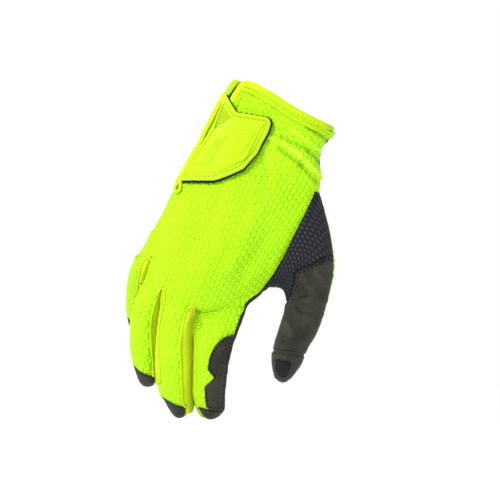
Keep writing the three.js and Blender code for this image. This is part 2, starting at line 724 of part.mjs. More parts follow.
// The outline through the corners, in steps of about the same length on the surface.
function outlineOf(surface, corners) {
  return corners.flatMap((corner, i) => {
    const next = corners[(i + 1) % corners.length];
    const start = surface(corner.along, corner.around);
    const length = start.distanceTo(surface(next.along, next.around));
    const steps = Math.max(Math.round(length / OUTLINE_STEP), 1);
    return Array.from({ length: steps }, (_, step) => ({
      along: THREE.MathUtils.lerp(corner.along, next.along, step / steps),
      around: THREE.MathUtils.lerp(corner.around, next.around, step / steps),
    }));
  });
}

// A flat layer that lies on a surface inside an outline.
function plateGeometry(surface, corners, height, thick) {
  const outline = outlineOf(surface, corners);
  const count = outline.length;
  const mean = (column) => outline.reduce((sum, spot) => sum + spot[column], 0) / count;
  const centre = { along: mean('along'), around: mean('around') };
  const spots = [1, ...PLATE_RINGS].flatMap((share) =>
    outline.map((spot) => ({
      along: THREE.MathUtils.lerp(centre.along, spot.along, share),
      around: THREE.MathUtils.lerp(centre.around, spot.around, share),
    })),
  );
  spots.push(centre);
  const at = (level) => spots.map((spot) => raised(surface, spot.along, spot.around, level));
  const points = [...at(height + thick), ...at(height)];
  return geometryOf(points, plateIndex(count, PLATE_RINGS.length, spots.length));
}

// The triangles of a plate: rings of faces round its centre, above, below and at its edge.
function plateIndex(count, rings, below) {
  const index = [];
  for (let i = 0; i < count; i += 1) {
    const j = (i + 1) % count;
    for (let ring = 0; ring < rings; ring += 1) {
      const [a, b] = [ring * count + i, ring * count + j];
      const [c, d] = [a + count, b + count];
      index.push(a, c, b, b, c, d);
      index.push(below + a, below + b, below + c, below + b, below + d, below + c);
    }
    const [a, b] = [rings * count + i, rings * count + j];
    index.push(a, below - 1, b, below + a, below + b, below + below - 1);
    index.push(i, j, below + i, j, below + j, below + i);
  }
  return index;
}

// A round cord of cloth along a path, with flat ends.
function tubeGeometry(path, radii) {
  const points = [];
  const index = [];
  let side = new THREE.Vector3(0, 1, 0);
  path.forEach((point, i) => {
    const before = path[Math.max(i - 1, 0)];
    const run = path[Math.min(i + 1, path.length - 1)].clone().sub(before).normalize();
    side = side.clone().addScaledVector(run, -side.dot(run)).normalize();
    const up = run.clone().cross(side);
    for (let k = 0; k < TUBE_SIDES; k += 1) {
      const angle = (2 * Math.PI * k) / TUBE_SIDES;
      const rim = point.clone().addScaledVector(side, radii[i] * Math.cos(angle));
      points.push(rim.addScaledVector(up, radii[i] * Math.sin(angle)));
    }
  });
  const first = points.push(path[0].clone()) - 1;
  const last = points.push(path.at(-1).clone()) - 1;
  for (let k = 0; k < TUBE_SIDES; k += 1) {
    const next = (k + 1) % TUBE_SIDES;
    for (let i = 0; i < path.length - 1; i += 1) {
      const [a, b] = [i * TUBE_SIDES + k, i * TUBE_SIDES + next];
      const [c, d] = [a + TUBE_SIDES, b + TUBE_SIDES];
      index.push(a, b, c, b, d, c);
    }
    const end = (path.length - 1) * TUBE_SIDES;
    index.push(first, next, k, last, end + k, end + next);
  }
  return geometryOf(points, index);
}

// The path of the binding: up one side of the slit, then round the cuff to its other side.
function cuffPath(cage, normals, cuff) {
  const up = fromPalm(0, 0, -1);
  const rise = BINDING_RADIUS + BINDING_CLEARANCE;
  const over = [...cuff.back.slice(0, SLIT.firstColumn + 1).reverse(), cuff.radial, ...cuff.palm];
  const ring = [...over, cuff.ulnar, cuff.back.at(-1)].map((i) => {
    const point = cage.points[i].clone().addScaledVector(normals[i], -KNIT_WALL / 2);
    return point.addScaledVector(up, rise);
  });
  const column = (SLIT.firstColumn + (SLIT.lastColumn + 1 - SLIT.firstColumn) / 2) / BACK_COLUMNS;
  const inSlitAt = (along, sink) => raised(backSurface, along, column, -KNIT_WALL / 2 - sink);
  const top = inSlitAt(0, 0).addScaledVector(up, rise * 0.4);
  const sunk = SLIT_PATH.map(({ along, sink }) => inSlitAt(along, sink * BINDING_RADIUS));
  return [...sunk, top, ...ring];
}

function backSurface(along, around) {
  return palmPoint(along, around * BACK_COLUMNS, -1);
}

// The rolled edge of the strap: its path down the little finger side, with a knob at its end.
function strapBindingGeometry() {
  const steps = Array.from({ length: STRAP_BINDING_STEPS }, (_, i) => i);
  const knobFrom = STRAP_BINDING_STEPS - STRAP_KNOB.length;
  const radii = steps.map((i) => STRAP_BINDING_RADIUS * (STRAP_KNOB[i - knobFrom] ?? 1));
  const path = steps.map((i) =>
    raised(backSurface, 0.075 + 0.03 * i, 0.985, radii[i] + BINDING_CLEARANCE + LAYER_CLEARANCE),
  );
  return tubeGeometry(path, radii);
}

function mesh(name, geometry, material) {
  const made = new THREE.Mesh(geometry, material);
  made.name = name;
  return made;
}

function buildGlove() {
  const cage = new Cage();
  const loops = palmLoops(cage);
  palmBands(cage, loops);
  const last = loops[LAST_ROW];
  const forks = [last.radial, ...[1, 2, 3].map((fork) => forkPoint(cage, last, fork)), last.ulnar];
  const roots = FINGERS.map((_, i) => addFinger(cage, fingerRoot(last, forks, i), i));
  const thumbMiddle = addThumb(cage, loops);
  const normals = cage.normals();
  const wall = (name, material, thick) =>
    mesh(name, wallGeometry(cage, normals, name, thick), material);
  const indexSurface = (along, around) =>
    sectionPoint(fingerSection(FINGERS[0], roots[0], along), backAngle(around));
  const thumbSurface = (row, around) => sectionPoint(thumbSection(thumbMiddle, row), backAngle(around));
  const tabLift = 2 * LAYER_CLEARANCE + BACKING_THICK;
  const group = new THREE.Group();
  group.name = 'riding_glove';
  const plates = [
    mesh('strap_backing', plateGeometry(backSurface, grown(TAB_CORNERS, BACKING_GROWS),
      LAYER_CLEARANCE, BACKING_THICK), BLACK),
    mesh('strap_tab', plateGeometry(backSurface, TAB_CORNERS, tabLift, TAB_THICK), MOULDED),
    mesh('index_patch', plateGeometry(indexSurface, INDEX_PATCH_CORNERS,
      LAYER_CLEARANCE, PATCH_THICK), SUEDE),
    mesh('touch_patch', plateGeometry(thumbSurface, TOUCH_PATCH_CORNERS,
      LAYER_CLEARANCE, PATCH_THICK), BLACK),
  ];
  group.add(
    wall('back_panel', KNIT, KNIT_WALL),
    wall('palm_panel', SUEDE, SUEDE_WALL),
    wall('gusset_index_middle', GUSSET, KNIT_WALL),
    wall('gusset_middle_ring', GUSSET, KNIT_WALL),
    wall('gusset_ring_pinky', GUSSET, KNIT_WALL),
    wall('thumb_mesh', SPACER, KNIT_WALL),
    wall('thumb_pad', SUEDE, SUEDE_WALL),
    wall('thumb_tip', SUEDE, SUEDE_WALL),
    wall('thumb_back', GUSSET, KNIT_WALL),
    mesh('strap_binding', strapBindingGeometry(), GUSSET),
    mesh('cuff_binding', tubeOn(cuffPath(cage, normals, loops[0])), GUSSET),
    ...plates,
  );
  return group;
}

function tubeOn(path) {
  return tubeGeometry(path, path.map(() => BINDING_RADIUS));
}

// The same outline, drawn a little larger or smaller about its middle.
function grown(corners, factor) {
  const mean = (column) => corners.reduce((sum, corner) => sum + corner[column], 0) / corners.length;
  const [along, around] = [mean('along'), mean('around')];
  return corners.map((corner) => ({
    along: along + (corner.along - along) * factor,
    around: around + (corner.around - around) * factor,
  }));
}

// The middle point of the web between two fingers. The web's points face down.
function forkPoint(cage, last, fork) {
  const column = fork * FINGER_COLUMNS;
  const back = cage.points[last.back[column]].clone();
  const middle = cage.add(back.add(cage.points[last.palm[column]]).multiplyScalar(0.5));
  cage.facing.set(middle, fromPalm(0, 0, 3));
  cage.facing.set(last.back[column], fromPalm(0, 0, 1));
  cage.facing.set(last.palm[column], fromPalm(0, 0, 1));
  return middle;
}

export default buildGlove();
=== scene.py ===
"""A riding glove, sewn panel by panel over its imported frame."""
import math
import random
from collections import defaultdict, namedtuple

import bpy
import numpy as np
from bpy.props import FloatProperty, FloatVectorProperty, IntProperty, PointerProperty
from mathutils import Matrix, Vector, noise
from mathutils.kdtree import KDTree


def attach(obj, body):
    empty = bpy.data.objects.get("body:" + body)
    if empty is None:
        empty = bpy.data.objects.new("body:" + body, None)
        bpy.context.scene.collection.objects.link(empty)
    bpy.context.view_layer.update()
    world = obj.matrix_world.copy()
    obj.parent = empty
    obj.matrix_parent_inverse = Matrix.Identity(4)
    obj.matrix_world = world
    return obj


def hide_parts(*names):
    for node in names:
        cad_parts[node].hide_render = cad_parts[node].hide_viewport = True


bl_info = {
    "name": "Riding glove",
    "version": (1, 0, 0),
    "blender": (4, 5, 0),
    "location": "View3D > Sidebar > Glove",
    "description": "Sews a riding glove from knit, suede and spacer mesh panels",
    "category": "Object",
}

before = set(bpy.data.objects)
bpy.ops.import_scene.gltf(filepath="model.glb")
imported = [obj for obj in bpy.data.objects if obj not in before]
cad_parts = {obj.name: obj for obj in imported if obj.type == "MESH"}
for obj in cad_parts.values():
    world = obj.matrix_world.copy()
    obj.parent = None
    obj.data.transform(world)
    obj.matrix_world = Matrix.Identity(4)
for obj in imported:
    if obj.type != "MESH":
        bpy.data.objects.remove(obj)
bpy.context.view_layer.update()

# Sizes are in millimetres until a mesh is made.
MM = 0.001
HAND_BREADTH = 90
PALM_LENGTH = 160
PALM_DEPTH = 36
FINGER_LENGTH = 85
THUMB_LENGTH = 102
HAND_LEAN = math.radians(22.7)
SIDE_ANGLE = 30

# The grid of the sewn skin: lanes are the four fingers' shares of the palm.
LANE_COLUMNS = 12
BACK_COLUMNS = 4 * LANE_COLUMNS
WRIST_ROWS = 12
THUMB_ROWS = 18
LAST_ROW = WRIST_ROWS + THUMB_ROWS
THUMB_TOP = 0.35
# How often the skin is divided, and how much of the shrinking that comes with it is undone.
SKIN_LEVELS = 2
SKIN_HOLD = 1.2

# The palm's lines at places along it, as shares of the hand's breadth: across and behind.
KEYS = ("radial", "fork_a", "fork_b", "fork_c", "ulnar")
ACROSS_PLACES = (0, 0.12, 0.23, 0.35, 0.6, 0.85, 1)
PALM_ACROSS = {
    "radial_end": (0.502, 0.448, 0.508, 0.566, 0.645, 0.6, 0.472),
    "radial": (0.455, 0.407, 0.46, 0.52, 0.491, 0.466, 0.437),
    "fork_a": (0.155, 0.15, 0.14, 0.13, 0.08, 0.035, 0.002),
    "fork_b": (-0.09, -0.095, -0.1, -0.11, -0.155, -0.215, -0.252),
    "fork_c": (-0.28, -0.29, -0.3, -0.31, -0.345, -0.385, -0.411),
    "ulnar": (-0.4, -0.425, -0.435, -0.44, -0.471, -0.49, -0.528),
    "ulnar_end": (-0.437, -0.46, -0.469, -0.477, -0.506, -0.53, -0.57),
}
BEHIND_PLACES = (0, 0.12, 0.35, 0.6, 0.85, 1)
PALM_BEHIND = {
    "depth": (1.17, 1.04, 1.0, 0.97, 0.86, 0.68),
    "radial": (0, 0, 0.01, 0.022, 0.033, 0.033),
    "fork_a": (0, 0, -0.01, -0.022, -0.022, -0.011),
    "fork_b": (0, 0, -0.01, -0.011, 0.011, 0.031),
    "fork_c": (0, 0, 0.01, 0.039, 0.09, 0.116),
    "ulnar": (0, 0.01, 0.035, 0.089, 0.167, 0.211),
}

# The palm's two ends at each key line, as shares of its length, and the forks' lean in degrees.
CUFF_EDGE = (0.036, 0.026, 0.002, -0.008, 0.009)
FORK_EDGE = (0.809, 0.999, 0.969, 0.857, 0.87)
FORK_LEAN = (0, 0, 5, 12, 14)

# Folds on the back of the hand: from and to (along, across), rise and width in shares of depth.
FOLDS = (
    ((0.16, 0.02), (0.31, 0.53), 0.05, 0.2),
    ((0.26, 0.05), (0.41, 0.5), -0.04, 0.2),
    ((0.5, 0.16), (0.8, 0.12), 0.05, 0.16),
    ((0.52, -0.12), (0.85, -0.17), -0.045, 0.16),
    ((0.62, -0.3), (0.84, -0.33), 0.045, 0.14),
    ((0.205, 0.12), (0.3, 0.4), -0.02, 0.06),
    ((0.6, 0.3), (0.9, 0.22), -0.02, 0.1),
    ((0.66, 0.02), (0.92, -0.03), 0.022, 0.09),
)

# Sharp creases of the knit at the wrist and of the thumb's pad, and a filled dip at the index
# root, in the plane of the back: from and to (x, z), rise and width in millimetres.
CREASES = (
    (-9.5, -25.0, 2.5, -30.3, 1.0, 1.3),
    (2.5, -30.3, 14.0, -39.0, 1.8, 1.5),
    (14.0, -39.0, 28.0, -53.5, 1.7, 1.6),
    (-1.0, -34.0, 15.0, -46.0, -1.0, 1.9),
    (15.0, -46.0, 25.0, -57.0, -0.8, 2.0),
    (0.0, -25.6, 19.0, -34.6, -0.8, 1.7),
    (9.0, -20.5, 32.0, -38.5, 1.1, 1.4),
    (20.0, -36.0, 32.0, -46.5, -1.0, 1.5),
    (19.0, -18.0, 36.0, -29.5, -1.0, 1.5),
    (-12.0, -31.0, -4.0, -50.0, 0.4, 2.0),
)
PAD_CREASES = (
    (8.0, -142.3, 18.0, -138.7, -0.6, 1.0),
    (14.4, -144.1, 22.8, -147.1, -0.5, 1.0),
    (10.8, -146.1, 14.4, -151.7, -0.5, 1.1),
    (16.0, -150.0, 24.0, -153.0, -0.4, 1.2),
    (9.0, -137.0, 16.0, -133.0, -0.4, 1.1),
    (25.2, -121.9, 30.0, -131.5, 0.6, 2.8),
    (17.0, -128.0, 22.0, -136.0, 0.4, 2.2),
    (4.0, -158.0, 7.0, -166.0, 0.5, 2.6),
    (14.0, -156.0, 12.0, -170.0, -0.3, 2.0),
)
ROOT_FILLS = (
    (-57.0, -149.3, -28.0, -148.1, 1.7, 2.9),
)

# Soft rumples of the knit and of the suede: height in millimetres, scales and seed.
KNIT_RUMPLES = ((0.5, (0.11, 0.08, 0.035), 11), (0.2, (0.22, 0.2, 0.16), 23))
SUEDE_RUMPLES = ((0.9, (0.07, 0.07, 0.3), 37), (0.25, (0.2, 0.2, 0.5), 41))
SEAM_PUCKER = (0.22, (0.5, 0.5, 0.5), 3)
THUMB_CROOK = (-12, -132, 17)

# Finger sections: down, side, behind, half breadth, half depth, roll in degrees. The slant
# tips the seam round the finger's end. Seams: down, then both angles of the side seams.
Finger = namedtuple("Finger", "name knit_ends slant reach rows seams bulges",
                    defaults=((0, 0),))
PLAIN_SEAMS = ((0, SIDE_ANGLE, SIDE_ANGLE), (1, SIDE_ANGLE, SIDE_ANGLE))
FINGERS = (
    Finger("index", 0.9, 0.25, 0.995, (
        (0.0, 0.0, 0.0, 0.2, 0.15, -6),
        (0.106, -0.05, 0.0, 0.195, 0.145, -6),
        (0.382, -0.107, 0.012, 0.153, 0.132, -6),
        (0.679, -0.129, 0.05, 0.126, 0.12, -6),
        (0.89, -0.133, 0.095, 0.119, 0.108, -6),
        (1.0, -0.112, 0.12, 0.115, 0.1, -6),
    ), PLAIN_SEAMS, (0, 0.03)),
    Finger("middle", 0.85, 0.5, 0.985, (
        (0.0, 0.0, 0.0, 0.148, 0.13, 14),
        (0.116, -0.006, 0.0, 0.147, 0.13, 22),
        (0.42, -0.023, 0.035, 0.147, 0.125, 26),
        (0.63, -0.029, 0.075, 0.142, 0.12, 26),
        (0.81, -0.014, 0.12, 0.126, 0.11, 22),
        (1.0, 0.025, 0.17, 0.104, 0.098, 18),
    ), ((0, 30, 30), (0.1, 66, 30), (0.2, 58, 30), (0.42, 54, 30), (1, 54, 30)), (0.014, 0.034)),
    Finger("ring", 0.843, 0.5, 0.975, (
        (0.0, 0.0, 0.0, 0.13, 0.13, 33),
        (0.17, -0.072, 0.055, 0.13, 0.122, 33),
        (0.35, -0.132, 0.125, 0.132, 0.118, 32),
        (0.6, -0.15, 0.195, 0.13, 0.115, 30),
        (0.8, -0.145, 0.25, 0.116, 0.105, 26),
        (1.0, -0.118, 0.3, 0.1, 0.092, 24),
    ), ((0, 30, 30), (0.1, 38, 95), (0.2, 38, 70), (0.42, 36, 30), (1, 36, 30))),
    Finger("pinky", 0.87, 0.4, 0.63, (
        (0.0, 0.0, 0.0, 0.11, 0.11, 55),
        (0.25, -0.08, 0.13, 0.112, 0.108, 52),
        (0.5, -0.112, 0.25, 0.11, 0.105, 48),
        (0.75, -0.125, 0.37, 0.104, 0.1, 44),
        (1.0, -0.13, 0.47, 0.095, 0.09, 40),
    ), PLAIN_SEAMS),
)
RINGS = (0.05, 0.1, 0.15, 0.2, 0.255, 0.31, 0.365, 0.42, 0.475, 0.53, 0.585, 0.64, 0.69,
         0.74, 0.785, 0.83, None, 0.93, 0.955, 0.972, 0.985)
KNIT_END_RING = RINGS.index(None)
ROOT_PLACES = (0, 0.1, 0.2, 0.31, 0.42)
ROOT_WEIGHTS = (1, 0.7, 0.35, 0.1, 0)
TIP_ROUNDS_FROM = 0.84

# Thumb sections: down, side, half breadth, turn in degrees, bow, behind, half depth.
THUMB = (
    (0.037, 0.054, 0.408, 56.6, 0.02, 0.025, 0.19),
    (0.098, 0.103, 0.336, 52.1, 0.035, 0.035, 0.19),
    (0.18, 0.144, 0.275, 45.8, 0.06, 0.05, 0.187),
    (0.284, 0.167, 0.234, 35.8, 0.1, 0.065, 0.18),
    (0.357, 0.158, 0.206, 26.4, 0.08, 0.08, 0.17),
    (0.431, 0.138, 0.18, 15.8, 0.05, 0.09, 0.157),
    (0.514, 0.113, 0.163, 4.9, 0.025, 0.1, 0.148),
    (0.589, 0.084, 0.157, -2.0, 0.01, 0.11, 0.14),
    (0.658, 0.054, 0.15, -5.3, 0, 0.12, 0.134),
    (0.715, 0.025, 0.141, -6.0, 0, 0.13, 0.13),
    (0.788, -0.001, 0.133, -8.4, 0, 0.14, 0.124),
    (0.844, -0.014, 0.124, -7.4, 0, 0.148, 0.115),
    (0.903, -0.028, 0.101, -3.0, 0, 0.156, 0.095),
    (0.964, -0.045, 0.066, -1.5, 0, 0.162, 0.062),
)
MESH_ENDS = 3
PAD_ENDS = 10
THUMB_BULGE = 0.017
THUMB_TIP_BULGE = 0.035

# The slit in the cuff, in columns and rows of the grid.
SLIT_COLUMNS = (40, 45)
SLIT_ROWS = 5

# Outlines of the layers on top, as (along, around) from the thumb side to the outer side.
TAB_CORNERS = (
    (0.07, 0.95), (0.15, 0.726), (0.083, 0.452), (0.088, 0.417), (0.102, 0.403),
    (0.148, 0.393), (0.236, 0.401), (0.305, 0.429), (0.343, 0.444), (0.352, 0.455),
    (0.4, 0.508), (0.472, 0.586), (0.505, 0.64), (0.542, 0.707), (0.57, 0.791), (0.58, 0.9),
    (0.55, 0.935), (0.496, 0.935), (0.302, 0.901), (0.261, 0.89), (0.19, 0.91),
)
INDEX_PATCH_CORNERS = (
    (0.888, 0.08), (0.893, 0.41), (0.884, 0.665), (0.713, 0.71), (0.625, 0.45),
    (0.562, 0.638), (0.462, 0.609), (0.379, 0.525), (0.286, 0.348), (0.24, 0.055),
)
TOUCH_PATCH_CORNERS = (
    (10.87, 0.86), (11.0, 0.36), (12.2, 0.32), (12.9, 0.36), (12.95, 0.62), (12.4, 0.86),
)

# Faces of the moulded tab, in the photograph's plane (x, z).
TAB_PLATE = ((-46.5, -21.2), (-33.1, -15.6), (-11.6, -16.2), (-24.9, -41.4), (-44.9, -51.2),
             (-66.5, -50.2))
TAB_TRIANGLE = ((-41.6, 1.0), (-34.6, -12.6), (-47.0, -20.2))
TAB_PANEL = ((-31.5, -22.5), (-17.5, -21.2), (-27.0, -37.8), (-41.5, -37.8))
TAB_WEDGE = ((-45.5, -26.5), (-35.5, -24.0), (-50.5, -47.0), (-60.5, -46.5))

# The gap between the first two fingers: its middle (x), its arch and its end (z), and where
# (x) the strip beside it starts to darken. The strips swell to nearly close it.
FORK_GAP = (-60.0, -143.5, -176)
STRIP_LIT = -68.0
FORK_SWELL = 1.9

# Where one piece shows in place of another from the front: from, to and the outline in the
# plane of the back (x, z).
SHOWN_OUTLINES = (
    ("back_panel", "gusset_index_middle", (
        (-64.4, -145.6), (-66.6, -147.6), (-68.6, -152.5), (-70.8, -162.7), (-72.0, -174.7),
        (-71.4, -186.7), (-70.8, -204.7), (-70.2, -216.7), (-62.0, -216.7), (-60.5, -147.0),
        (-62.2, -145.6))),
    ("back_panel", "gusset_middle_ring", (
        (-85.6, -132.4), (-88.8, -140.5), (-91.8, -151.3), (-93.4, -161.0), (-93.0, -173.0),
        (-91.8, -185.0), (-91.2, -200.6), (-86.5, -200.6), (-88.5, -166.0), (-86.5, -153.5),
        (-82.8, -140.5), (-84.0, -133.0))),
    ("back_panel", "gusset_ring_pinky", (
        (-94.6, -109.2), (-98.6, -113.5), (-101.0, -118.3), (-102.8, -126.7), (-103.7, -135.7),
        (-102.6, -136.3), (-99.8, -130.3), (-96.8, -124.3), (-94.4, -118.3), (-94.2, -112.5))),
    ("thumb_pad", "thumb_mesh", (
        (-2.0, -121.9), (11.0, -121.9), (10.3, -129.1), (7.6, -138.7), (5.0, -142.3),
        (-2.0, -143.5))),
    ("thumb_mesh", "thumb_pad", (
        (11.0, -121.9), (18.0, -118.9), (24.0, -115.9), (30.0, -112.9), (38.0, -113.3),
        (36.0, -121.9), (14.4, -131.5), (9.9, -131.5))),
)

# The cells of the cloth: half sizes in shares of a cell, and the turn of the spacer mesh. The
# knit is smoother at the wrist, from and to (x) and (z) in metres.
KNIT_SCALE = (0.62, 0.44)
KNIT_HOLE = (0.16, 0.1)
SPACER_BEAD = (0.56, 0.36)
SPACER_TURN = math.radians(46)
SMOOTH_WRIST = ((-0.03, 0.0), (-0.066, -0.03))

# Layers on the cloth: the height of the underside and the thickness, in millimetres.
TAB_LAYER = (2.5, 1.8)
BACKING_LAYER = (0.9, 1.25)
INDEX_LAYER = (0.35, 1.15)
TOUCH_LAYER = (0.35, 1.05)

# The strap: how far the backing peeks out, the stitch line's distance from the tab's edge, the
# rolled edge from end to end, and the middle and half sizes of the loop that ends it.
BACKING_GROWS = 1.03
BACKING_SHIFT = (0.003, -0.0045)
TAB_STITCHES = 2.9
STRAP_ROLL = (0.06, 0.605)
STRAP_ROLL_AROUND = 0.995
TEARDROP_SPOT = (0.606, 0.912)
TEARDROP_REACH = (4.2, 3.9)

# The tab's soft shade on the knit falls to this side of it (x, z).
TAB_SHADE_SHIFT = (2.6, -2.4)

# Bristles: every sixth sits at the top corner, and none beside the rolled edge, which
# lies left of one line (x) and between two heights (z).
CORNER_BRISTLE = 6
COVERED_EDGE = (-44, -50, -4)
BRISTLE_RADII = np.array([0.13, 0.12, 0.03])

# The cuff: the binding's way down the slit (along, lift), its half sizes, and the places along
# the palm of the ridge and the stitches under it.
SLIT_EDGE = ((0.105, -0.9), (0.075, -0.3), (0.045, 0.1), (0.02, 0.1))
SLIT_EDGE_COLUMN = SLIT_COLUMNS[0] + 0.9
CUFF_ROLL = (2.75, 1.95)
HEM_RIDGE = 0.024
HEM_STITCHES = 0.033

# The stage, in metres, millimetres of lens and watts. Lights: name, place, size and power.
FLOOR_HEIGHT = -0.34
STAGE_MIDDLE = (-0.02, 0, -0.11)
LIGHTS = (("key", (-0.75, -0.7, 0.8), 0.25, 19), ("fill", (0.8, -0.9, 0.1), 0.8, 0.6))
CAMERA_PLACE = (-0.0220, -3.0, -0.1057)
CAMERA_LENS = 302

PIECES = ("back_panel", "palm_panel", "gusset_index_middle", "gusset_middle_ring",
          "gusset_ring_pinky", "thumb_mesh", "thumb_pad", "thumb_tip", "thumb_back")


def linear(code):
    """A web colour as Blender's linear colour."""
    parts = [int(code[i:i + 2], 16) / 255 for i in (0, 2, 4)]
    return tuple(p / 12.92 if p <= 0.04045 else ((p + 0.055) / 1.055) ** 2.4 for p in parts)


def length_property(name, description, default):
    return FloatProperty(name=name, description=description, default=default,
                         min=0.0, subtype="DISTANCE", unit="LENGTH")


def colour_property(name, description, code):
    return FloatVectorProperty(name=name, description=description, default=linear(code),
                               size=3, min=0.0, max=1.0, subtype="COLOR")


class GloveSizes(bpy.types.PropertyGroup):
    """Sizes of the cloth and the sewing."""

    knit_wall: length_property("Knit thickness", "Thickness of the knit panels", 0.0013)
    suede_wall: length_property("Suede thickness", "Thickness of the suede panels", 0.0012)
    knit_cell: length_property("Knit cell", "Breadth of one cell of the knit", 0.0043)
    knit_row: length_property("Knit row", "Height of one row of the knit", 0.0024)
    bead: length_property("Mesh bead", "Spacing of the beads of the spacer mesh", 0.0041)
    bead_row: length_property("Mesh row", "Height of one row of beads", 0.0026)
    seam_depth: length_property("Seam depth", "How deep the seams lie", 0.0009)
    seam_width: length_property("Seam width", "Half breadth of a seam's valley", 0.0015)
    stitch_length: length_property("Stitch length", "Length of one stitch", 0.0019)
    stitch_gap: length_property("Stitch gap", "Gap between two stitches", 0.0009)
    thread: length_property("Thread radius", "Radius of the sewing thread", 0.00022)
    bristles: IntProperty(name="Hook bristles", description="Bristles along the hook backing",
                          default=420, min=0, max=2000)


class GloveColours(bpy.types.PropertyGroup):
    """Colours of the cloth and the moulded tab."""

    knit: colour_property("Knit", "Crests of the knit", "A6E200")
    # The knit valleys colour is the painted shade of the knit's valleys and pinholes, and also the
    # lining's own colour.
    knit_low: colour_property("Knit valleys", "Valleys of the knit", "84BE00")
    gusset: colour_property("Gusset", "Smooth side cloth and bindings", "B0CC0E")
    moulded: colour_property("Moulded tab", "Soft moulded strap tab", "A2C200")
    suede: colour_property("Suede", "Palm and patches", "2A2A24")
    spacer: colour_property("Spacer mesh", "Mesh beside the thumb", "191B22")
    black: colour_property("Black", "Hook backing and touch patch", "15171A")


def curve(places, values, at):
    """The value between the places, on a smooth curve through them."""
    i = 0
    while i < len(places) - 2 and at > places[i + 1]:
        i += 1

    def slope(k):
        a, b = max(k - 1, 0), min(k + 1, len(places) - 1)
        return (values[b] - values[a]) / (places[b] - places[a])

    span = places[i + 1] - places[i]
    t = (at - places[i]) / span
    rise = values[i + 1] - values[i]
    bend = (1 - t) * (slope(i) * span - rise) - t * (slope(i + 1) * span - rise)
    return values[i] + rise * t + t * (1 - t) * bend


def across_lanes(values, lane):
    return curve(range(5), values, lane)


def ease(value):
    t = min(max(value, 0), 1)
    return t * t * (3 - 2 * t)


def bell(values, width, middle=0.0):
    """A smooth bump of height one about a middle."""
    return np.exp(-((values - middle) / width) ** 2)


def from_palm(across, behind, down):
    """A point of the palm's own axes, in the frame."""
    return Vector((
        across * math.cos(HAND_LEAN) - down * math.sin(HAND_LEAN),
        behind,
        -across * math.sin(HAND_LEAN) - down * math.cos(HAND_LEAN),
    ))


def middle_line(along, lane):
    """The middle of a palm section, half way between back and palm."""
    across = [curve(ACROSS_PLACES, PALM_ACROSS[key], along) for key in KEYS]
    behind = [curve(BEHIND_PLACES, PALM_BEHIND[key], along) for key in KEYS]
    return Vector((across_lanes(across, lane), across_lanes(behind, lane))) * HAND_BREADTH


def half_depth(along, across):
    radial = HAND_BREADTH * curve(ACROSS_PLACES, PALM_ACROSS["radial_end"], along)
    ulnar = HAND_BREADTH * curve(ACROSS_PLACES, PALM_ACROSS["ulnar_end"], along)
    out = abs((2 * across - radial - ulnar) / (radial - ulnar))
    depth = PALM_DEPTH * curve(BEHIND_PLACES, PALM_BEHIND["depth"], along)
    return depth / 2 * (1 - min(out, 0.97) ** 2.5) ** 0.4


def fold_lift(along, across):
    """How far the folds lift the back of the hand."""
    lift = 0
    place = Vector((along * PALM_LENGTH, across))
    for start, end, rise, width in FOLDS:
        a = Vector((start[0] * PALM_LENGTH, start[1] * HAND_BREADTH))
        run = Vector((end[0] * PALM_LENGTH, end[1] * HAND_BREADTH)) - a
        t = min(max((place - a).dot(run) / run.length_squared, 0), 1)
        away = (place - a - run * t).length / (width * PALM_DEPTH)
        lift += rise * PALM_DEPTH * bell(away, 1)
    return lift


def palm_down(along, lane):
    cuff, forks = across_lanes(CUFF_EDGE, lane), across_lanes(FORK_EDGE, lane)
    return PALM_LENGTH * (cuff + (forks - cuff) * along)


def palm_point(along, lane, face, beyond=0):
    """A point of the palm: face is -1 on the back, 1 on the palm side, 0 in the middle."""
    middle = middle_line(along, lane)
    run = (middle_line(along, min(lane + 1 / 12, 4)) - middle_line(along, max(lane - 1 / 12, 0)))
    run.normalize()
    half = half_depth(along, middle.x)
    lift = face * half - (fold_lift(along, middle.x) if face < 0 else 0)
    lean = math.radians(across_lanes(FORK_LEAN, lane))
    tip = ease(2 * along - 1) * math.tan(lean) * half * (1 + face)
    return from_palm(middle.x + run.y * lift + run.x * beyond,
                     middle.y - run.x * lift + run.y * beyond,
                     palm_down(along, lane) - tip)


def palm_end(along, side):
    """The point where a palm section closes, at its thumb side or its outer side."""
    end = curve(ACROSS_PLACES, PALM_ACROSS[side + "_end"], along)
    reach = HAND_BREADTH * abs(end - curve(ACROSS_PLACES, PALM_ACROSS[side], along))
    return palm_point(along, 0 if side == "radial" else 4, 0,
                      -reach if side == "radial" else reach)


Section = namedtuple(
    "Section", "centre along radial palmwards half deep bow slant seams bulges",
    defaults=(0, (SIDE_ANGLE, SIDE_ANGLE), (0, 0)))


def finger_value(finger, down, column):
    places = [row[0] for row in finger.rows]
    return curve(places, [row[column] for row in finger.rows], down)


def finger_centre(finger, root, down):
    return root + Vector((HAND_BREADTH * finger_value(finger, down, 1),
                          HAND_BREADTH * finger_value(finger, down, 2),
                          -down * finger.reach * FINGER_LENGTH))


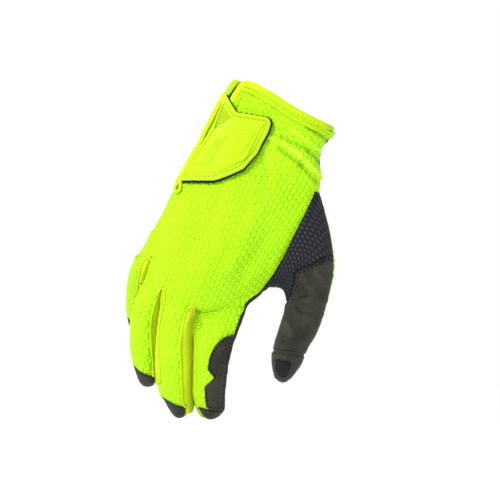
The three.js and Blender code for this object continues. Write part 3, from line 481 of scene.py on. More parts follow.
def finger_section(finger, root, down):
    ahead = finger_centre(finger, root, min(down + 0.03, 1))
    along = (ahead - finger_centre(finger, root, max(down - 0.03, 0))).normalized()
    behind = Vector((0, 1, 0))
    behind = (behind - along * behind.dot(along)).normalized()
    roll = math.radians(finger_value(finger, down, 5))
    palmwards = Matrix.Rotation(roll, 3, along) @ behind
    past = max(down - TIP_ROUNDS_FROM, 0) / (1 - TIP_ROUNDS_FROM)
    rounded = HAND_BREADTH * max(1 - past ** 2.5, 0) ** 0.4
    slant = finger.slant * ease((down - 0.5) / 0.35) * ease((1 - down) / 0.12)
    places = [seam[0] for seam in finger.seams]
    seams = [curve(places, [seam[side] for seam in finger.seams], down) for side in (1, 2)]
    return Section(finger_centre(finger, root, down), along, along.cross(palmwards), palmwards,
                   finger_value(finger, down, 3) * rounded,
                   finger_value(finger, down, 4) * rounded, 0, slant, seams,
                   [HAND_BREADTH * bulge * ease((down - 0.06) / 0.16) * ease((0.93 - down) / 0.15)
                    for bulge in finger.bulges])


def thumb_section(middle, row):
    value = [curve(range(len(THUMB)), [entry[c] for entry in THUMB], row) for c in range(7)]
    turn = math.radians(value[3])
    centre = Vector((HAND_BREADTH * value[1], HAND_BREADTH * value[5], -THUMB_LENGTH * value[0]))
    return Section(centre + middle,
                   Vector((math.sin(turn), 0, -math.cos(turn))),
                   Vector((math.cos(turn), 0, math.sin(turn))),
                   Vector((0, 1, 0)),
                   HAND_BREADTH * value[2], HAND_BREADTH * value[6], HAND_BREADTH * value[4],
                   bulges=(HAND_BREADTH * THUMB_BULGE * ease(row / 2) * ease((11 - row) / 3), 0))


def section_point(section, degrees):
    """A point on a section, at an angle from its thumb side over its back."""
    angle = math.radians(degrees)
    radial, ulnar = section.bulges
    bulge = radial * max(math.cos(angle), 0) ** 3 - ulnar * max(-math.cos(angle), 0) ** 3
    point = section.centre + section.radial * (section.half * math.cos(angle) + bulge)
    point -= section.palmwards * (section.deep * math.sin(angle))
    slant = section.slant * section.half * math.cos(angle)
    return point + section.along * (slant - section.bow * max(math.sin(angle), 0))


def back_angle(around, seams=(SIDE_ANGLE, SIDE_ANGLE)):
    return seams[0] + around * (180 - sum(seams))


Loop = namedtuple("Loop", "back ulnar palm radial")


class Cage:
    """The coarse outer surface: points, and four-sided faces that each name their piece."""

    def __init__(self):
        self.points = []
        self.faces = []
        self.spots = {"hand": {}, "thumb": {}}

    def add(self, point):
        self.points.append(point)
        return len(self.points) - 1

    def face(self, piece, corners, chart):
        if piece:
            self.faces.append((piece, corners, chart))

    def band(self, upper, lower, piece_of, chart="hand"):
        """Joins two loops. The piece is chosen by the part of the loop."""
        for i in range(len(upper.back) - 1):
            self.face(piece_of("back", i), (upper.back[i], upper.back[i + 1],
                                            lower.back[i + 1], lower.back[i]), chart)
            self.face(piece_of("palm", i), (upper.palm[i + 1], upper.palm[i],
                                            lower.palm[i], lower.palm[i + 1]), chart)
        self.face(piece_of("ulnar", 0), (upper.back[-1], upper.ulnar,
                                         lower.ulnar, lower.back[-1]), chart)
        self.face(piece_of("ulnar", 1), (upper.ulnar, upper.palm[-1],
                                         lower.palm[-1], lower.ulnar), chart)
        if upper.radial is None or lower.radial is None:
            return
        self.face(piece_of("radial", 0), (upper.radial, upper.back[0],
                                          lower.back[0], lower.radial), chart)
        self.face(piece_of("radial", 1), (upper.palm[0], upper.radial,
                                          lower.radial, lower.palm[0]), chart)

    def cap(self, loop, piece, bulge, chart="hand"):
        """Closes a tip with two rows of faces over a bulged middle line."""
        last = len(loop.back) - 1
        middle = [loop.radial]
        for i in range(1, last):
            between = (self.points[loop.back[i]] + self.points[loop.palm[i]]) / 2
            middle.append(self.add(between + bulge * math.sin(math.pi * i / last)))
            self.spots[chart][middle[-1]] = self.spots[chart][loop.back[i]]
        middle.append(loop.ulnar)
        for i in range(last):
            self.face(piece, (loop.back[i], loop.back[i + 1], middle[i + 1], middle[i]), chart)
            self.face(piece, (middle[i], middle[i + 1], loop.palm[i + 1], loop.palm[i]), chart)

    def place_on_cloth(self, loop, chart, spot_of):
        """Gives a loop its places on the cloth. The palm side mirrors the back."""
        back = [self.points[i] for i in loop.back]
        arcs = np.cumsum([0] + [(b - a).length for a, b in zip(back, back[1:])])
        arcs = arcs[len(back) // 2] - arcs
        spots = self.spots[chart]
        for i, arc in enumerate(arcs):
            spots[loop.back[i]] = spots[loop.palm[i]] = spot_of(arc)
        if loop.ulnar is not None:
            side = (self.points[loop.ulnar] - back[-1]).length
            spots[loop.ulnar] = spot_of(arcs[-1] - side)
        if loop.radial is not None:
            side = (self.points[loop.radial] - back[0]).length
            spots[loop.radial] = spot_of(arcs[0] + side)


def palm_along(row):
    if row < WRIST_ROWS:
        return THUMB_TOP * row / WRIST_ROWS
    return THUMB_TOP + (1 - THUMB_TOP) * (row - WRIST_ROWS) / THUMB_ROWS


def palm_loops(cage):
    loops = []
    for row in range(LAST_ROW + 1):
        along = palm_along(row)
        closed = row <= WRIST_ROWS or row == LAST_ROW
        lanes = [i / LANE_COLUMNS for i in range(BACK_COLUMNS + 1)]
        loop = Loop([cage.add(palm_point(along, lane, -1)) for lane in lanes],
                    cage.add(palm_end(along, "ulnar")),
                    [cage.add(palm_point(along, lane, 1)) for lane in lanes],
                    cage.add(palm_end(along, "radial")) if closed else None)
        middle = middle_line(along, 2).x
        down = palm_down(along, 2)
        cage.place_on_cloth(loop, "hand", lambda arc: (
            (middle + arc) * math.cos(HAND_LEAN) - down * math.sin(HAND_LEAN),
            (middle + arc) * math.sin(HAND_LEAN) + down * math.cos(HAND_LEAN)))
        loops.append(loop)
    return loops


def palm_bands(cage, loops):
    for row in range(LAST_ROW):
        def piece_of(part, i, row=row):
            if part == "back":
                slit = row < SLIT_ROWS and SLIT_COLUMNS[0] <= i <= SLIT_COLUMNS[1]
                return None if slit else "back_panel"
            return "back_panel" if part != "palm" and i == 0 else "palm_panel"

        cage.band(loops[row], loops[row + 1], piece_of)


def finger_piece(index, part, half):
    names = [finger.name for finger in FINGERS]
    if part == "back":
        return "back_panel"
    if part == "ulnar" and index < 3:
        return f"gusset_{names[index]}_{names[index + 1]}"
    if part == "radial" and index > 0:
        return f"gusset_{names[index - 1]}_{names[index]}"
    return "back_panel" if part == "ulnar" and half == 0 else "palm_panel"


def section_loop(cage, section, columns, near=None):
    """A row of points round a finger or thumb, near the root with part of its shape."""
    def place(degrees, own):
        point = section_point(section, degrees)
        if near:
            root, centre, scale, weight = near
            point = point.lerp((cage.points[own] - centre) * scale + section.centre, weight)
        return cage.add(point)

    root = near[0] if near else Loop([None] * (columns + 1), None, [None] * (columns + 1), None)
    steps = [i / columns for i in range(columns + 1)]
    angles = [back_angle(t, section.seams) for t in steps]
    return Loop([place(angle, own) for angle, own in zip(angles, root.back)],
                place(180, root.ulnar),
                [place(-angle, own) for angle, own in zip(angles, root.palm)],
                place(0, root.radial))


def loop_centre(cage, loop):
    points = [cage.points[i] for i in (*loop.back, *loop.palm)]
    return sum(points, Vector()) / len(points)


def add_finger(cage, root, index):
    finger = FINGERS[index]
    centre = loop_centre(cage, root)
    breadth = (cage.points[root.radial] - cage.points[root.ulnar]).length
    start = cage.spots["hand"][root.back[LANE_COLUMNS // 2]]
    upper = root
    for ring, share in enumerate(RINGS):
        down = finger.knit_ends if share is None else share
        section = finger_section(finger, centre, down)
        weight = curve(ROOT_PLACES, ROOT_WEIGHTS, down) if down < ROOT_PLACES[-1] else 0
        near = (root, centre, 2 * section.half / breadth, weight) if weight > 0 else None
        lower = section_loop(cage, section, LANE_COLUMNS, near)
        shift = section.centre - centre
        cage.place_on_cloth(lower, "hand", lambda arc: (start[0] + shift.x + arc,
                                                        start[1] - shift.z))
        tip = ring > KNIT_END_RING

        def piece_of(part, half, tip=tip):
            piece = finger_piece(index, part, half)
            return "palm_panel" if tip and piece == "back_panel" else piece

        cage.band(upper, lower, piece_of)
        upper = lower
    end = finger_section(finger, centre, RINGS[-1])
    cage.cap(upper, "palm_panel", end.along * ((1 - RINGS[-1]) * finger.reach * FINGER_LENGTH))
    return centre


def thumb_piece(row, part, half):
    if row > PAD_ENDS:
        return "thumb_tip"
    if part == "palm" or (part != "back" and half == 1):
        return "thumb_back"
    return "thumb_mesh" if row <= MESH_ENDS else "thumb_pad"


def add_thumb(cage, loops):
    beside = loops[WRIST_ROWS:]
    root = Loop([loop.back[0] for loop in beside], loops[LAST_ROW].radial,
                [loop.palm[0] for loop in beside], loops[WRIST_ROWS].radial)
    middle = loop_centre(cage, root)
    cage.place_on_cloth(root, "thumb", lambda arc: (arc, 0))
    upper, down = root, 0
    for step in range(2 * len(THUMB) - 1):
        row = step / 2
        lower = section_loop(cage, thumb_section(middle, row), THUMB_ROWS)
        half = THUMB_ROWS // 2
        down += (cage.points[lower.back[half]] - cage.points[upper.back[half]]).length
        cage.place_on_cloth(lower, "thumb", lambda arc: (arc, down))
        cage.band(upper, lower, lambda part, half: thumb_piece(row, part, half), "thumb")
        upper = lower
    end = thumb_section(middle, len(THUMB) - 1)
    cage.cap(upper, "thumb_tip", end.along * (THUMB_TIP_BULGE * THUMB_LENGTH), "thumb")
    return middle


def glove_cage():
    cage = Cage()
    loops = palm_loops(cage)
    palm_bands(cage, loops)
    last = loops[LAST_ROW]
    forks = [last.radial]
    for fork in (1, 2, 3):
        ends = (last.back[fork * LANE_COLUMNS], last.palm[fork * LANE_COLUMNS])
        forks.append(cage.add((cage.points[ends[0]] + cage.points[ends[1]]) / 2))
        cage.spots["hand"][forks[-1]] = cage.spots["hand"][ends[0]]
    forks.append(last.ulnar)
    roots = []
    for index in range(4):
        lanes = slice(index * LANE_COLUMNS, (index + 1) * LANE_COLUMNS + 1)
        root = Loop(last.back[lanes], forks[index + 1], last.palm[lanes], forks[index])
        roots.append(add_finger(cage, root, index))
    return cage, loops, roots, add_thumb(cage, loops)


def clear_selection():
    bpy.ops.object.select_all(action="DESELECT")


def new_object(name, points, faces):
    """A mesh object from points in millimetres, alone selected and active."""
    mesh = bpy.data.meshes.new(name)
    mesh.from_pydata((np.asarray(points, float) * MM).tolist(), [], faces)
    mesh.update()
    obj = bpy.data.objects.new(name, mesh)
    bpy.context.scene.collection.objects.link(obj)
    clear_selection()
    obj.select_set(True)
    bpy.context.view_layer.objects.active = obj
    return obj


def set_attribute(obj, name, values):
    """Gives each point of the mesh a number that its material reads."""
    attribute = obj.data.attributes.new(name, "FLOAT", "POINT")
    attribute.data.foreach_set("value", values)


def apply_modifier(obj, kind, **values):
    """Adds a modifier and applies it at once."""
    modifier = obj.modifiers.new(kind.title(), kind)
    for key, value in values.items():
        setattr(modifier, key, value)
    bpy.context.view_layer.objects.active = obj
    bpy.ops.object.modifier_apply(modifier=modifier.name)


def mesh_arrays(mesh):
    points = np.empty(len(mesh.vertices) * 3)
    mesh.vertices.foreach_get("co", points)
    normals = np.empty(len(mesh.vertices) * 3)
    mesh.vertices.foreach_get("normal", normals)
    return points.reshape(-1, 3) / MM, normals.reshape(-1, 3)


def distance_to(points, targets):
    """The distance of each point from the nearest target."""
    tree = KDTree(len(targets))
    for i, target in enumerate(targets):
        tree.insert(target, i)
    tree.balance()
    return np.array([tree.find(point)[2] for point in points])


def chains(edges):
    """Edges as ordered runs of points."""
    beside = defaultdict(list)
    for a, b in edges:
        beside[a].append(b)
        beside[b].append(a)
    left = {tuple(sorted(edge)) for edge in edges}
    runs = []
    starts = sorted(beside, key=lambda i: (len(beside[i]) == 2, i))
    for start in starts:
        for follow in beside[start]:
            run = [start]
            at, to = start, follow
            while tuple(sorted((at, to))) in left:
                left.discard(tuple(sorted((at, to))))
                run.append(to)
                onward = [n for n in beside[to] if tuple(sorted((to, n))) in left]
                if len(beside[to]) != 2 or not onward:
                    break
                at, to = to, onward[0]
            if len(run) > 1:
                runs.append(run)
    return runs


class Skin:
    """The finely divided outer surface of the whole glove, with its seams and folds."""

    def __init__(self, sizes):
        self.cage, self.loops, self.roots, self.thumb_middle = glove_cage()
        obj = new_object("skin", self.held_points(), [face[1] for face in self.cage.faces])
        mesh = obj.data
        for _ in PIECES:
            mesh.materials.append(None)
        mesh.polygons.foreach_set("material_index",
                                  [PIECES.index(face[0]) for face in self.cage.faces])
        cloth = mesh.uv_layers.new(name="cloth")
        spots = [self.cage.spots[chart][i] for _, corners, chart in self.cage.faces
                 for i in corners]
        cloth.data.foreach_set("uv", (np.array(spots) * MM).ravel())
        apply_modifier(obj, "SUBSURF", levels=SKIN_LEVELS, render_levels=SKIN_LEVELS)
        self.read(obj.data)
        self.widen_strips()
        self.find_seams()
        self.close_fork()
        self.shape(sizes)
        obj.data.vertices.foreach_set("co", (self.points * MM).ravel())
        obj.data.update()
        self.points, self.normals = mesh_arrays(obj.data)
        self.shade = self.strip_shade()
        bpy.data.objects.remove(obj)

    def held_points(self):
        """The cage moved outwards, so that the subdivided skin runs through its points."""
        cage = np.array([tuple(point) for point in self.cage.points])
        trial = new_object("trial", cage, [face[1] for face in self.cage.faces])
        apply_modifier(trial, "SUBSURF", levels=1, render_levels=1)
        shrunk = mesh_arrays(trial.data)[0][:len(cage)]
        bpy.data.objects.remove(trial)
        return cage + SKIN_HOLD * (cage - shrunk)

    def read(self, mesh):
        count = len(mesh.polygons)
        self.points, self.normals = mesh_arrays(mesh)
        self.quads = np.empty(count * 4, int)
        mesh.loops.foreach_get("vertex_index", self.quads)
        self.quads = self.quads.reshape(count, 4)
        self.piece = np.empty(count, int)
        mesh.polygons.foreach_get("material_index", self.piece)
        self.uv = np.empty(count * 8)
        mesh.uv_layers["cloth"].data.foreach_get("uv", self.uv)
        self.uv = self.uv.reshape(count, 4, 2)

    def widen_strips(self):
        """Moves the seams at the forks and at the thumb to their drawn outlines."""
        plane = self.points[self.quads].mean(axis=1)[:, (0, 2)]
        front = self.normals[self.quads].mean(axis=1)[:, 1] < 0.15
        for old, new, outline in SHOWN_OUTLINES:
            inside = (distance_inside(plane, outline) > 0) & front
            self.piece[inside & (self.piece == PIECES.index(old))] = PIECES.index(new)

    def find_seams(self):
        """Sorts the edges by the two pieces beside them. A lone piece is an open edge."""
        sides = defaultdict(list)
        for quad, piece in zip(self.quads.tolist(), self.piece.tolist()):
            for a, b in zip(quad, quad[1:] + quad[:1]):
                sides[(a, b) if a < b else (b, a)].append(piece)
        self.seams = defaultdict(list)
        for edge, pieces in sides.items():
            if len(pieces) == 1:
                self.seams[(pieces[0],)].append(edge)
            elif pieces[0] != pieces[1]:
                self.seams[tuple(sorted(pieces))].append(edge)

    def piece_points(self, *names):
        mask = np.isin(self.piece, [PIECES.index(name) for name in names])
        return np.unique(self.quads[mask])

    def close_fork(self):
        """Swells the strips beside the first fork, so that they nearly meet at its arch."""
        x, _, z = self.points.T
        near = np.exp(-((x - FORK_GAP[0]) / 3.8) ** 4)
        near *= ease_array((FORK_GAP[1] - z) / 2) * ease_array((z - FORK_GAP[2]) / 16)
        self.points[:, 0] += FORK_SWELL * near * np.clip(self.normals[:, 0] * 1.6, -1, 1)

    def shade_beside_tab(self):
        """A painted shadow that darkens the knit close to the tab's free edges."""
        outline = [back_surface(along, around) for along, around in TAB_CORNERS]
        plane = self.points[:, (0, 2)] - np.array(TAB_SHADE_SHIFT)
        inside = distance_inside(plane, [(point.x, point.z) for point in outline])
        return ease_array((inside + 2.6) / 4.6)

    def shape(self, sizes):
        """Sinks the seams, raises the hem and lays soft folds and puckers into the cloth. Also
        sets the painted shading: painted shade in the crease valleys and beside the tab, painted
        highlights on the crease ridges.
        """
        depth, width = sizes.seam_depth / MM, sizes.seam_width / MM
        away, hem = self.away_from_seams(2), self.away_from_seams(1)
        back, pad = self.mask("back_panel"), self.mask("thumb_pad")
        creases = back * self.creases(CREASES) + pad * self.creases(PAD_CREASES)
        # Painted shading, 0.5 meaning none: lower is painted shade in crease valleys and the tab's
        # painted shadow, higher is a painted highlight on crease ridges.
        self.painted_shading = np.clip(0.5 + 0.42 * creases, 0, 1) - 0.5 * self.shade_beside_tab()
        x, _, z = self.points.T
        crook = bell(z, THUMB_CROOK[2], THUMB_CROOK[1]) * (x > THUMB_CROOK[0])
        suede = self.mask("thumb_pad", "thumb_back", "palm_panel")
        suede *= ease_array((away - 0.4) / 3) * (0.35 + 0.9 * crook)
        lift = 0.35 * (1 - np.exp(-away / 5)) - depth * bell(away, width)
        lift += 0.5 * bell(hem, 0.9, 3.4) - 0.5 * bell(hem, 0.7, 5.3)
        lift += creases + back * self.creases(ROOT_FILLS)
        lift += bell(away, 4) * self.rumple(*SEAM_PUCKER)
        lift += back * sum(self.rumple(*entry) for entry in KNIT_RUMPLES)
        lift += suede * sum(self.rumple(*entry) for entry in SUEDE_RUMPLES)
        self.points = self.points + self.normals * lift[:, None]

    def away_from_seams(self, pieces):
        """The distance from the seams between two pieces, or from the open edges of one."""
        edges = [edge for key, run in self.seams.items() if len(key) == pieces for edge in run]
        return distance_to(self.points, self.points[np.unique(edges)])

    def mask(self, *names):
        """One at the points of the named pieces, else zero."""
        mask = np.zeros(len(self.points))
        mask[self.piece_points(*names)] = 1
        return mask

    def strip_shade(self):
        """How deep the first side strip lies in the index finger's shade."""
        x, _, z = self.points.T
        strip = self.mask("gusset_index_middle")
        return strip * ease_array((x - STRIP_LIT) / 4.5) * ease_array((FORK_GAP[1] - z) / 6)

    def creases(self, table):
        """The height of a table's creases at each point."""
        plane = self.points[:, (0, 2)]
        lift = np.zeros(len(plane))
        for x, z, to_x, to_z, rise, width in table:
            start, run = np.array((x, z)), np.array((to_x - x, to_z - z))
            t = np.clip(((plane - start) @ run) / (run @ run), 0, 1)
            away = np.linalg.norm(plane - start - t[:, None] * run, axis=1)
            lift += rise * bell(away, width)
        return lift

    def rumple(self, height, scales, seed):
        shift = Vector((seed, seed * 0.7, seed * 1.3))
        scaled_points = self.points * np.array(scales)
        return height * np.array([noise.noise(Vector(point) + shift) for point in scaled_points])

    def panel(self, name, piece):
        """One panel cut out of the skin, with its places on the cloth."""
        mask = self.piece == PIECES.index(piece)
        used, quads = np.unique(self.quads[mask], return_inverse=True)
        obj = new_object(name, self.points[used], quads.reshape(-1, 4).tolist())
        cloth = obj.data.uv_layers.new(name="cloth")
        cloth.data.foreach_set("uv", self.uv[mask].ravel())
        set_attribute(obj, "painted_shading", self.painted_shading[used])
        set_attribute(obj, "shade", self.shade[used])
        obj.data.polygons.foreach_set("use_smooth", [True] * len(obj.data.polygons))
        return obj

    def seam_runs(self, first, second=None):
        key = tuple(sorted(PIECES.index(name) for name in (first, second) if name))
        return [Path(self.points[run], self.normals[run]) for run in chains(self.seams[key])]


SKIN = {}


def skin():
    """The skin, sewn when it is first asked for."""
    if "glove" not in SKIN:
        SKIN["glove"] = Skin(bpy.context.scene.glove_sizes)
    return SKIN["glove"]


def ease_array(values):
    t = np.clip(values, 0, 1)
    return t * t * (3 - 2 * t)


def unit(vectors):
    return vectors / np.maximum(np.linalg.norm(vectors, axis=-1, keepdims=True), 1e-9)


class Path:
    """A run of points with the direction that faces out of the cloth at each."""

    def __init__(self, points, normals, closed=False):
        self.points, self.normals = np.array(points, float), np.array(normals, float)
        self.closed = closed

    def evened(self, step, rounds=0):
        """The same run in even steps, smoothed a few times."""
        points, normals = self.points, self.normals
        if self.closed:
            points = np.vstack([points, points[:1]])
            normals = np.vstack([normals, normals[:1]])
        for _ in range(rounds):
            points = softened(points, self.closed)
            normals = softened(normals, self.closed)
        arcs = np.concatenate([[0], np.cumsum(np.linalg.norm(np.diff(points, axis=0), axis=1))])
        count = max(int(round(arcs[-1] / step)), 2)
        at = np.linspace(0, arcs[-1], count + 1)
        at = at[:-1] if self.closed else at
        points = np.stack([np.interp(at, arcs, points[:, c]) for c in range(3)], axis=1)
        normals = np.stack([np.interp(at, arcs, normals[:, c]) for c in range(3)], axis=1)
        return Path(points, unit(normals), self.closed)

    def runs(self):
        """The direction of travel at each point."""
        if self.closed:
            return unit(np.roll(self.points, -1, axis=0) - np.roll(self.points, 1, axis=0))
        return unit(np.gradient(self.points, axis=0))

    def moved(self, sideways=0, out=0):
        """The run moved sideways along the cloth and out of it."""
        side = unit(np.cross(self.normals, self.runs()))
        return Path(self.points + side * sideways + self.normals * out, self.normals, self.closed)


def softened(values, closed):
    inner = (values[:-2] + 2 * values[1:-1] + values[2:]) / 4
    if closed:
        end = (values[-2] + 2 * values[0] + values[1]) / 4
        return np.vstack([end, inner, end])
    return np.vstack([values[:1], inner, values[-1:]])


def cord_faces(count, sides, closed):
    faces = []
    for i in range(count if closed else count - 1):
        a, b = i * sides, (i + 1) % count * sides
        faces += [(a + k, a + (k + 1) % sides, b + (k + 1) % sides, b + k) for k in range(sides)]
    if not closed:
        faces.append(tuple(range(sides))[::-1])
        faces.append(tuple((count - 1) * sides + k for k in range(sides)))
    return faces


def cord_points(path, breadths, heights, sides):
    """Rings of points round a path. The height is measured out of the cloth."""
    runs = path.runs()
    side = unit(np.cross(path.normals, runs))
    out = unit(np.cross(runs, side))
    angles = np.linspace(0, 2 * math.pi, sides, endpoint=False)
    breadths = np.broadcast_to(breadths, len(path.points))[:, None, None]
    heights = np.broadcast_to(heights, len(path.points))[:, None, None]
    rings = (path.points[:, None] + side[:, None] * np.cos(angles)[None, :, None] * breadths
             + out[:, None] * np.sin(angles)[None, :, None] * heights)
    return rings.reshape(-1, 3)


def join_parts(name, parts):
    """One object from several lots of (points, faces)."""
    points, faces, base = [], [], 0
    for part_points, part_faces in parts:
        points.append(part_points)
        faces += [tuple(base + i for i in face) for face in part_faces]
        base += len(part_points)
    return new_object(name, np.vstack(points), faces)


def cords(name, paths, breadth, height, step=0.9, sides=10, rounds=2):
    parts = []
    for path in paths:
        even = path.evened(step, rounds)
        if len(even.points) < 4:
            continue
        parts.append((cord_points(even, breadth, height, sides),
                      cord_faces(len(even.points), sides, even.closed)))
    obj = join_parts(name, parts)
    smooth(obj)
    return obj


def stitch_rows(name, paths, sizes, scale=1.0):
    """Stitches laid along paths, each a short rounded thread."""
    length, gap = sizes.stitch_length / MM * scale, sizes.stitch_gap / MM * scale
    radius = sizes.thread / MM * scale
    shares = np.array([-1, -0.8, 0, 0.8, 1]) * length / 2
    swell = np.array([0.25, 0.8, 1, 0.8, 0.25]) * radius
    sink = np.array([0.75, 0.25, -0.15, 0.25, 0.75]) * radius
    parts = []
    for path in paths:
        even = path.evened(length + gap, 1)
        runs = even.runs()
        for point, run, normal in zip(even.points, runs, even.normals):
            line = point + run * shares[:, None] - normal * sink[:, None]
            stitch = Path(line, np.tile(normal, (5, 1)))
            parts.append((cord_points(stitch, swell, swell, 6), cord_faces(5, 6, False)))
    obj = join_parts(name, parts)
    smooth(obj)
    return obj


def smooth(obj, degrees=50):
    clear_selection()
    obj.select_set(True)
    bpy.context.view_layer.objects.active = obj
    bpy.ops.object.shade_smooth_by_angle(angle=math.radians(degrees))


def dress(obj, slot, *materials, nodes=()):
    """Gives a finished piece its materials, its body and the nodes that it stands for."""
    obj.data.materials.clear()
    for material in materials:
        obj.data.materials.append(material)
    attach(obj, "root")
    if nodes:
        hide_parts(*nodes)
    return obj


def back_surface(along, around):
    return palm_point(along, around * 4, -1)


def index_surface(along, around):
    return section_point(finger_section(FINGERS[0], skin().roots[0], along), back_angle(around))


def thumb_surface(row, around):
    return section_point(thumb_section(skin().thumb_middle, row), back_angle(around))


def raised(surface, along, around, height):
    """A point at a height over a surface, and the direction out of it."""
    step = 0.004
    down = surface(along + step, around) - surface(along - step, around)
    across = surface(along, around + step) - surface(along, around - step)
    out = across.cross(down).normalized()
    return surface(along, around) + out * height, out


def outline_of(surface, corners, step, rounds):
    """A closed outline through the corners in short even steps, its corners softened."""
    spots = []
    for here, there in zip(corners, corners[1:] + corners[:1]):
        size = (surface(*here) - surface(*there)).length
        count = max(int(round(size / step)), 1)
        spots += [(here[0] + (there[0] - here[0]) * t / count,
                   here[1] + (there[1] - here[1]) * t / count) for t in range(count)]
    spots = np.array(spots + spots[:1])
    for _ in range(rounds):
        spots = softened(spots, True)
    return spots[:-1]


def distance_inside(points, corners):
    """How far points in a plane lie inside a polygon; less than zero outside it."""
    corners = np.asarray(corners, float)
    nexts = np.roll(corners, -1, axis=0)
    best = np.full(len(points), np.inf)
    inside = np.zeros(len(points), bool)
    for a, b in zip(corners, nexts):
        run = b - a
        t = np.clip(((points - a) @ run) / (run @ run), 0, 1)
        best = np.minimum(best, np.linalg.norm(points - a - t[:, None] * run, axis=1))
        crosses = (a[1] > points[:, 1]) != (b[1] > points[:, 1])
        rise = run[1] if abs(run[1]) > 1e-9 else 1e-9
        inside ^= crosses & (points[:, 0] < run[0] * (points[:, 1] - a[1]) / rise + a[0])
    return np.where(inside, best, -best)


class Plate:
    """A layer that lies on a surface inside an outline, with relief on top."""

    def __init__(self, surface, corners, height, thick, rings, step=1.0, rounds=3):
        self.outline = outline_of(surface, corners, step, rounds)
        self.count = len(self.outline)
        centre = self.outline.mean(axis=0)
        self.shares = 1 - (np.arange(rings) / rings) ** 1.25
        spots = np.vstack([centre + (self.outline - centre) * share for share in self.shares])
        spots = np.vstack([spots, centre])
        raised_spots = [raised(surface, *spot, height) for spot in spots]
        self.base = np.array([point for point, _ in raised_spots])
        self.out = np.array([out for _, out in raised_spots])
        edge = self.base[:self.count]
        tree = KDTree(self.count)
        for i, point in enumerate(edge):
            tree.insert(point, i)
        tree.balance()
        self.inset = np.array([self.edge_distance(tree, edge, point) for point in self.base])
        self.top = np.full(len(self.base), float(thick))

    def edge_distance(self, tree, edge, point):
        """The distance to the outline's nearest stretch."""
        i = tree.find(point)[1]
        best = np.inf
        for a, b in ((edge[i - 1], edge[i]), (edge[i], edge[(i + 1) % len(edge)])):
            run = b - a
            t = min(max((point - a) @ run / (run @ run), 0), 1)
            best = min(best, np.linalg.norm(point - a - t * run))
        return best

    def plane(self):
        return self.base[:, (0, 2)]

    def points(self):
        return self.base + self.out * self.top[:, None]

    def build(self, name):
        obj = self.solid(name)
        # The painted shading is set to 0.5, which paints neither shade nor highlight.
        set_attribute(obj, "painted_shading", [0.5] * len(obj.data.vertices))
        return obj

    def solid(self, name):
        count, rings = self.count, len(self.shares)
        below = len(self.base)
        faces = []
        for i in range(count):
            j = (i + 1) % count
            for ring in range(rings - 1):
                a, b = ring * count + i, ring * count + j
                faces.append((a, a + count, b + count, b))
                faces.append((below + a, below + b, below + b + count, below + a + count))
            a, b = (rings - 1) * count + i, (rings - 1) * count + j
            faces += [(a, below - 1, b), (below + a, below + b, 2 * below - 1)]
            faces.append((i, j, below + j, below + i))
        return new_object(name, np.vstack([self.points(), self.base]), faces)

    def contour(self, inset, lift=0.0):
        """A closed path on top, at a distance inside the outline."""
        points = self.points()
        path, normals = [], []
        rows = np.arange(len(self.shares)) * self.count
        for i in range(self.count):
            spoke = np.append(rows + i, len(self.base) - 1)
            depth = np.maximum.accumulate(self.inset[spoke])
            if depth[-1] < inset:
                continue
            path.append([np.interp(inset, depth, points[spoke, c]) for c in range(3)])
            normals.append(self.out[spoke[0]])
        return Path(np.array(path) + np.array(normals) * lift, normals, closed=True)


def paint(colour):
    return (*colour, 1.0)


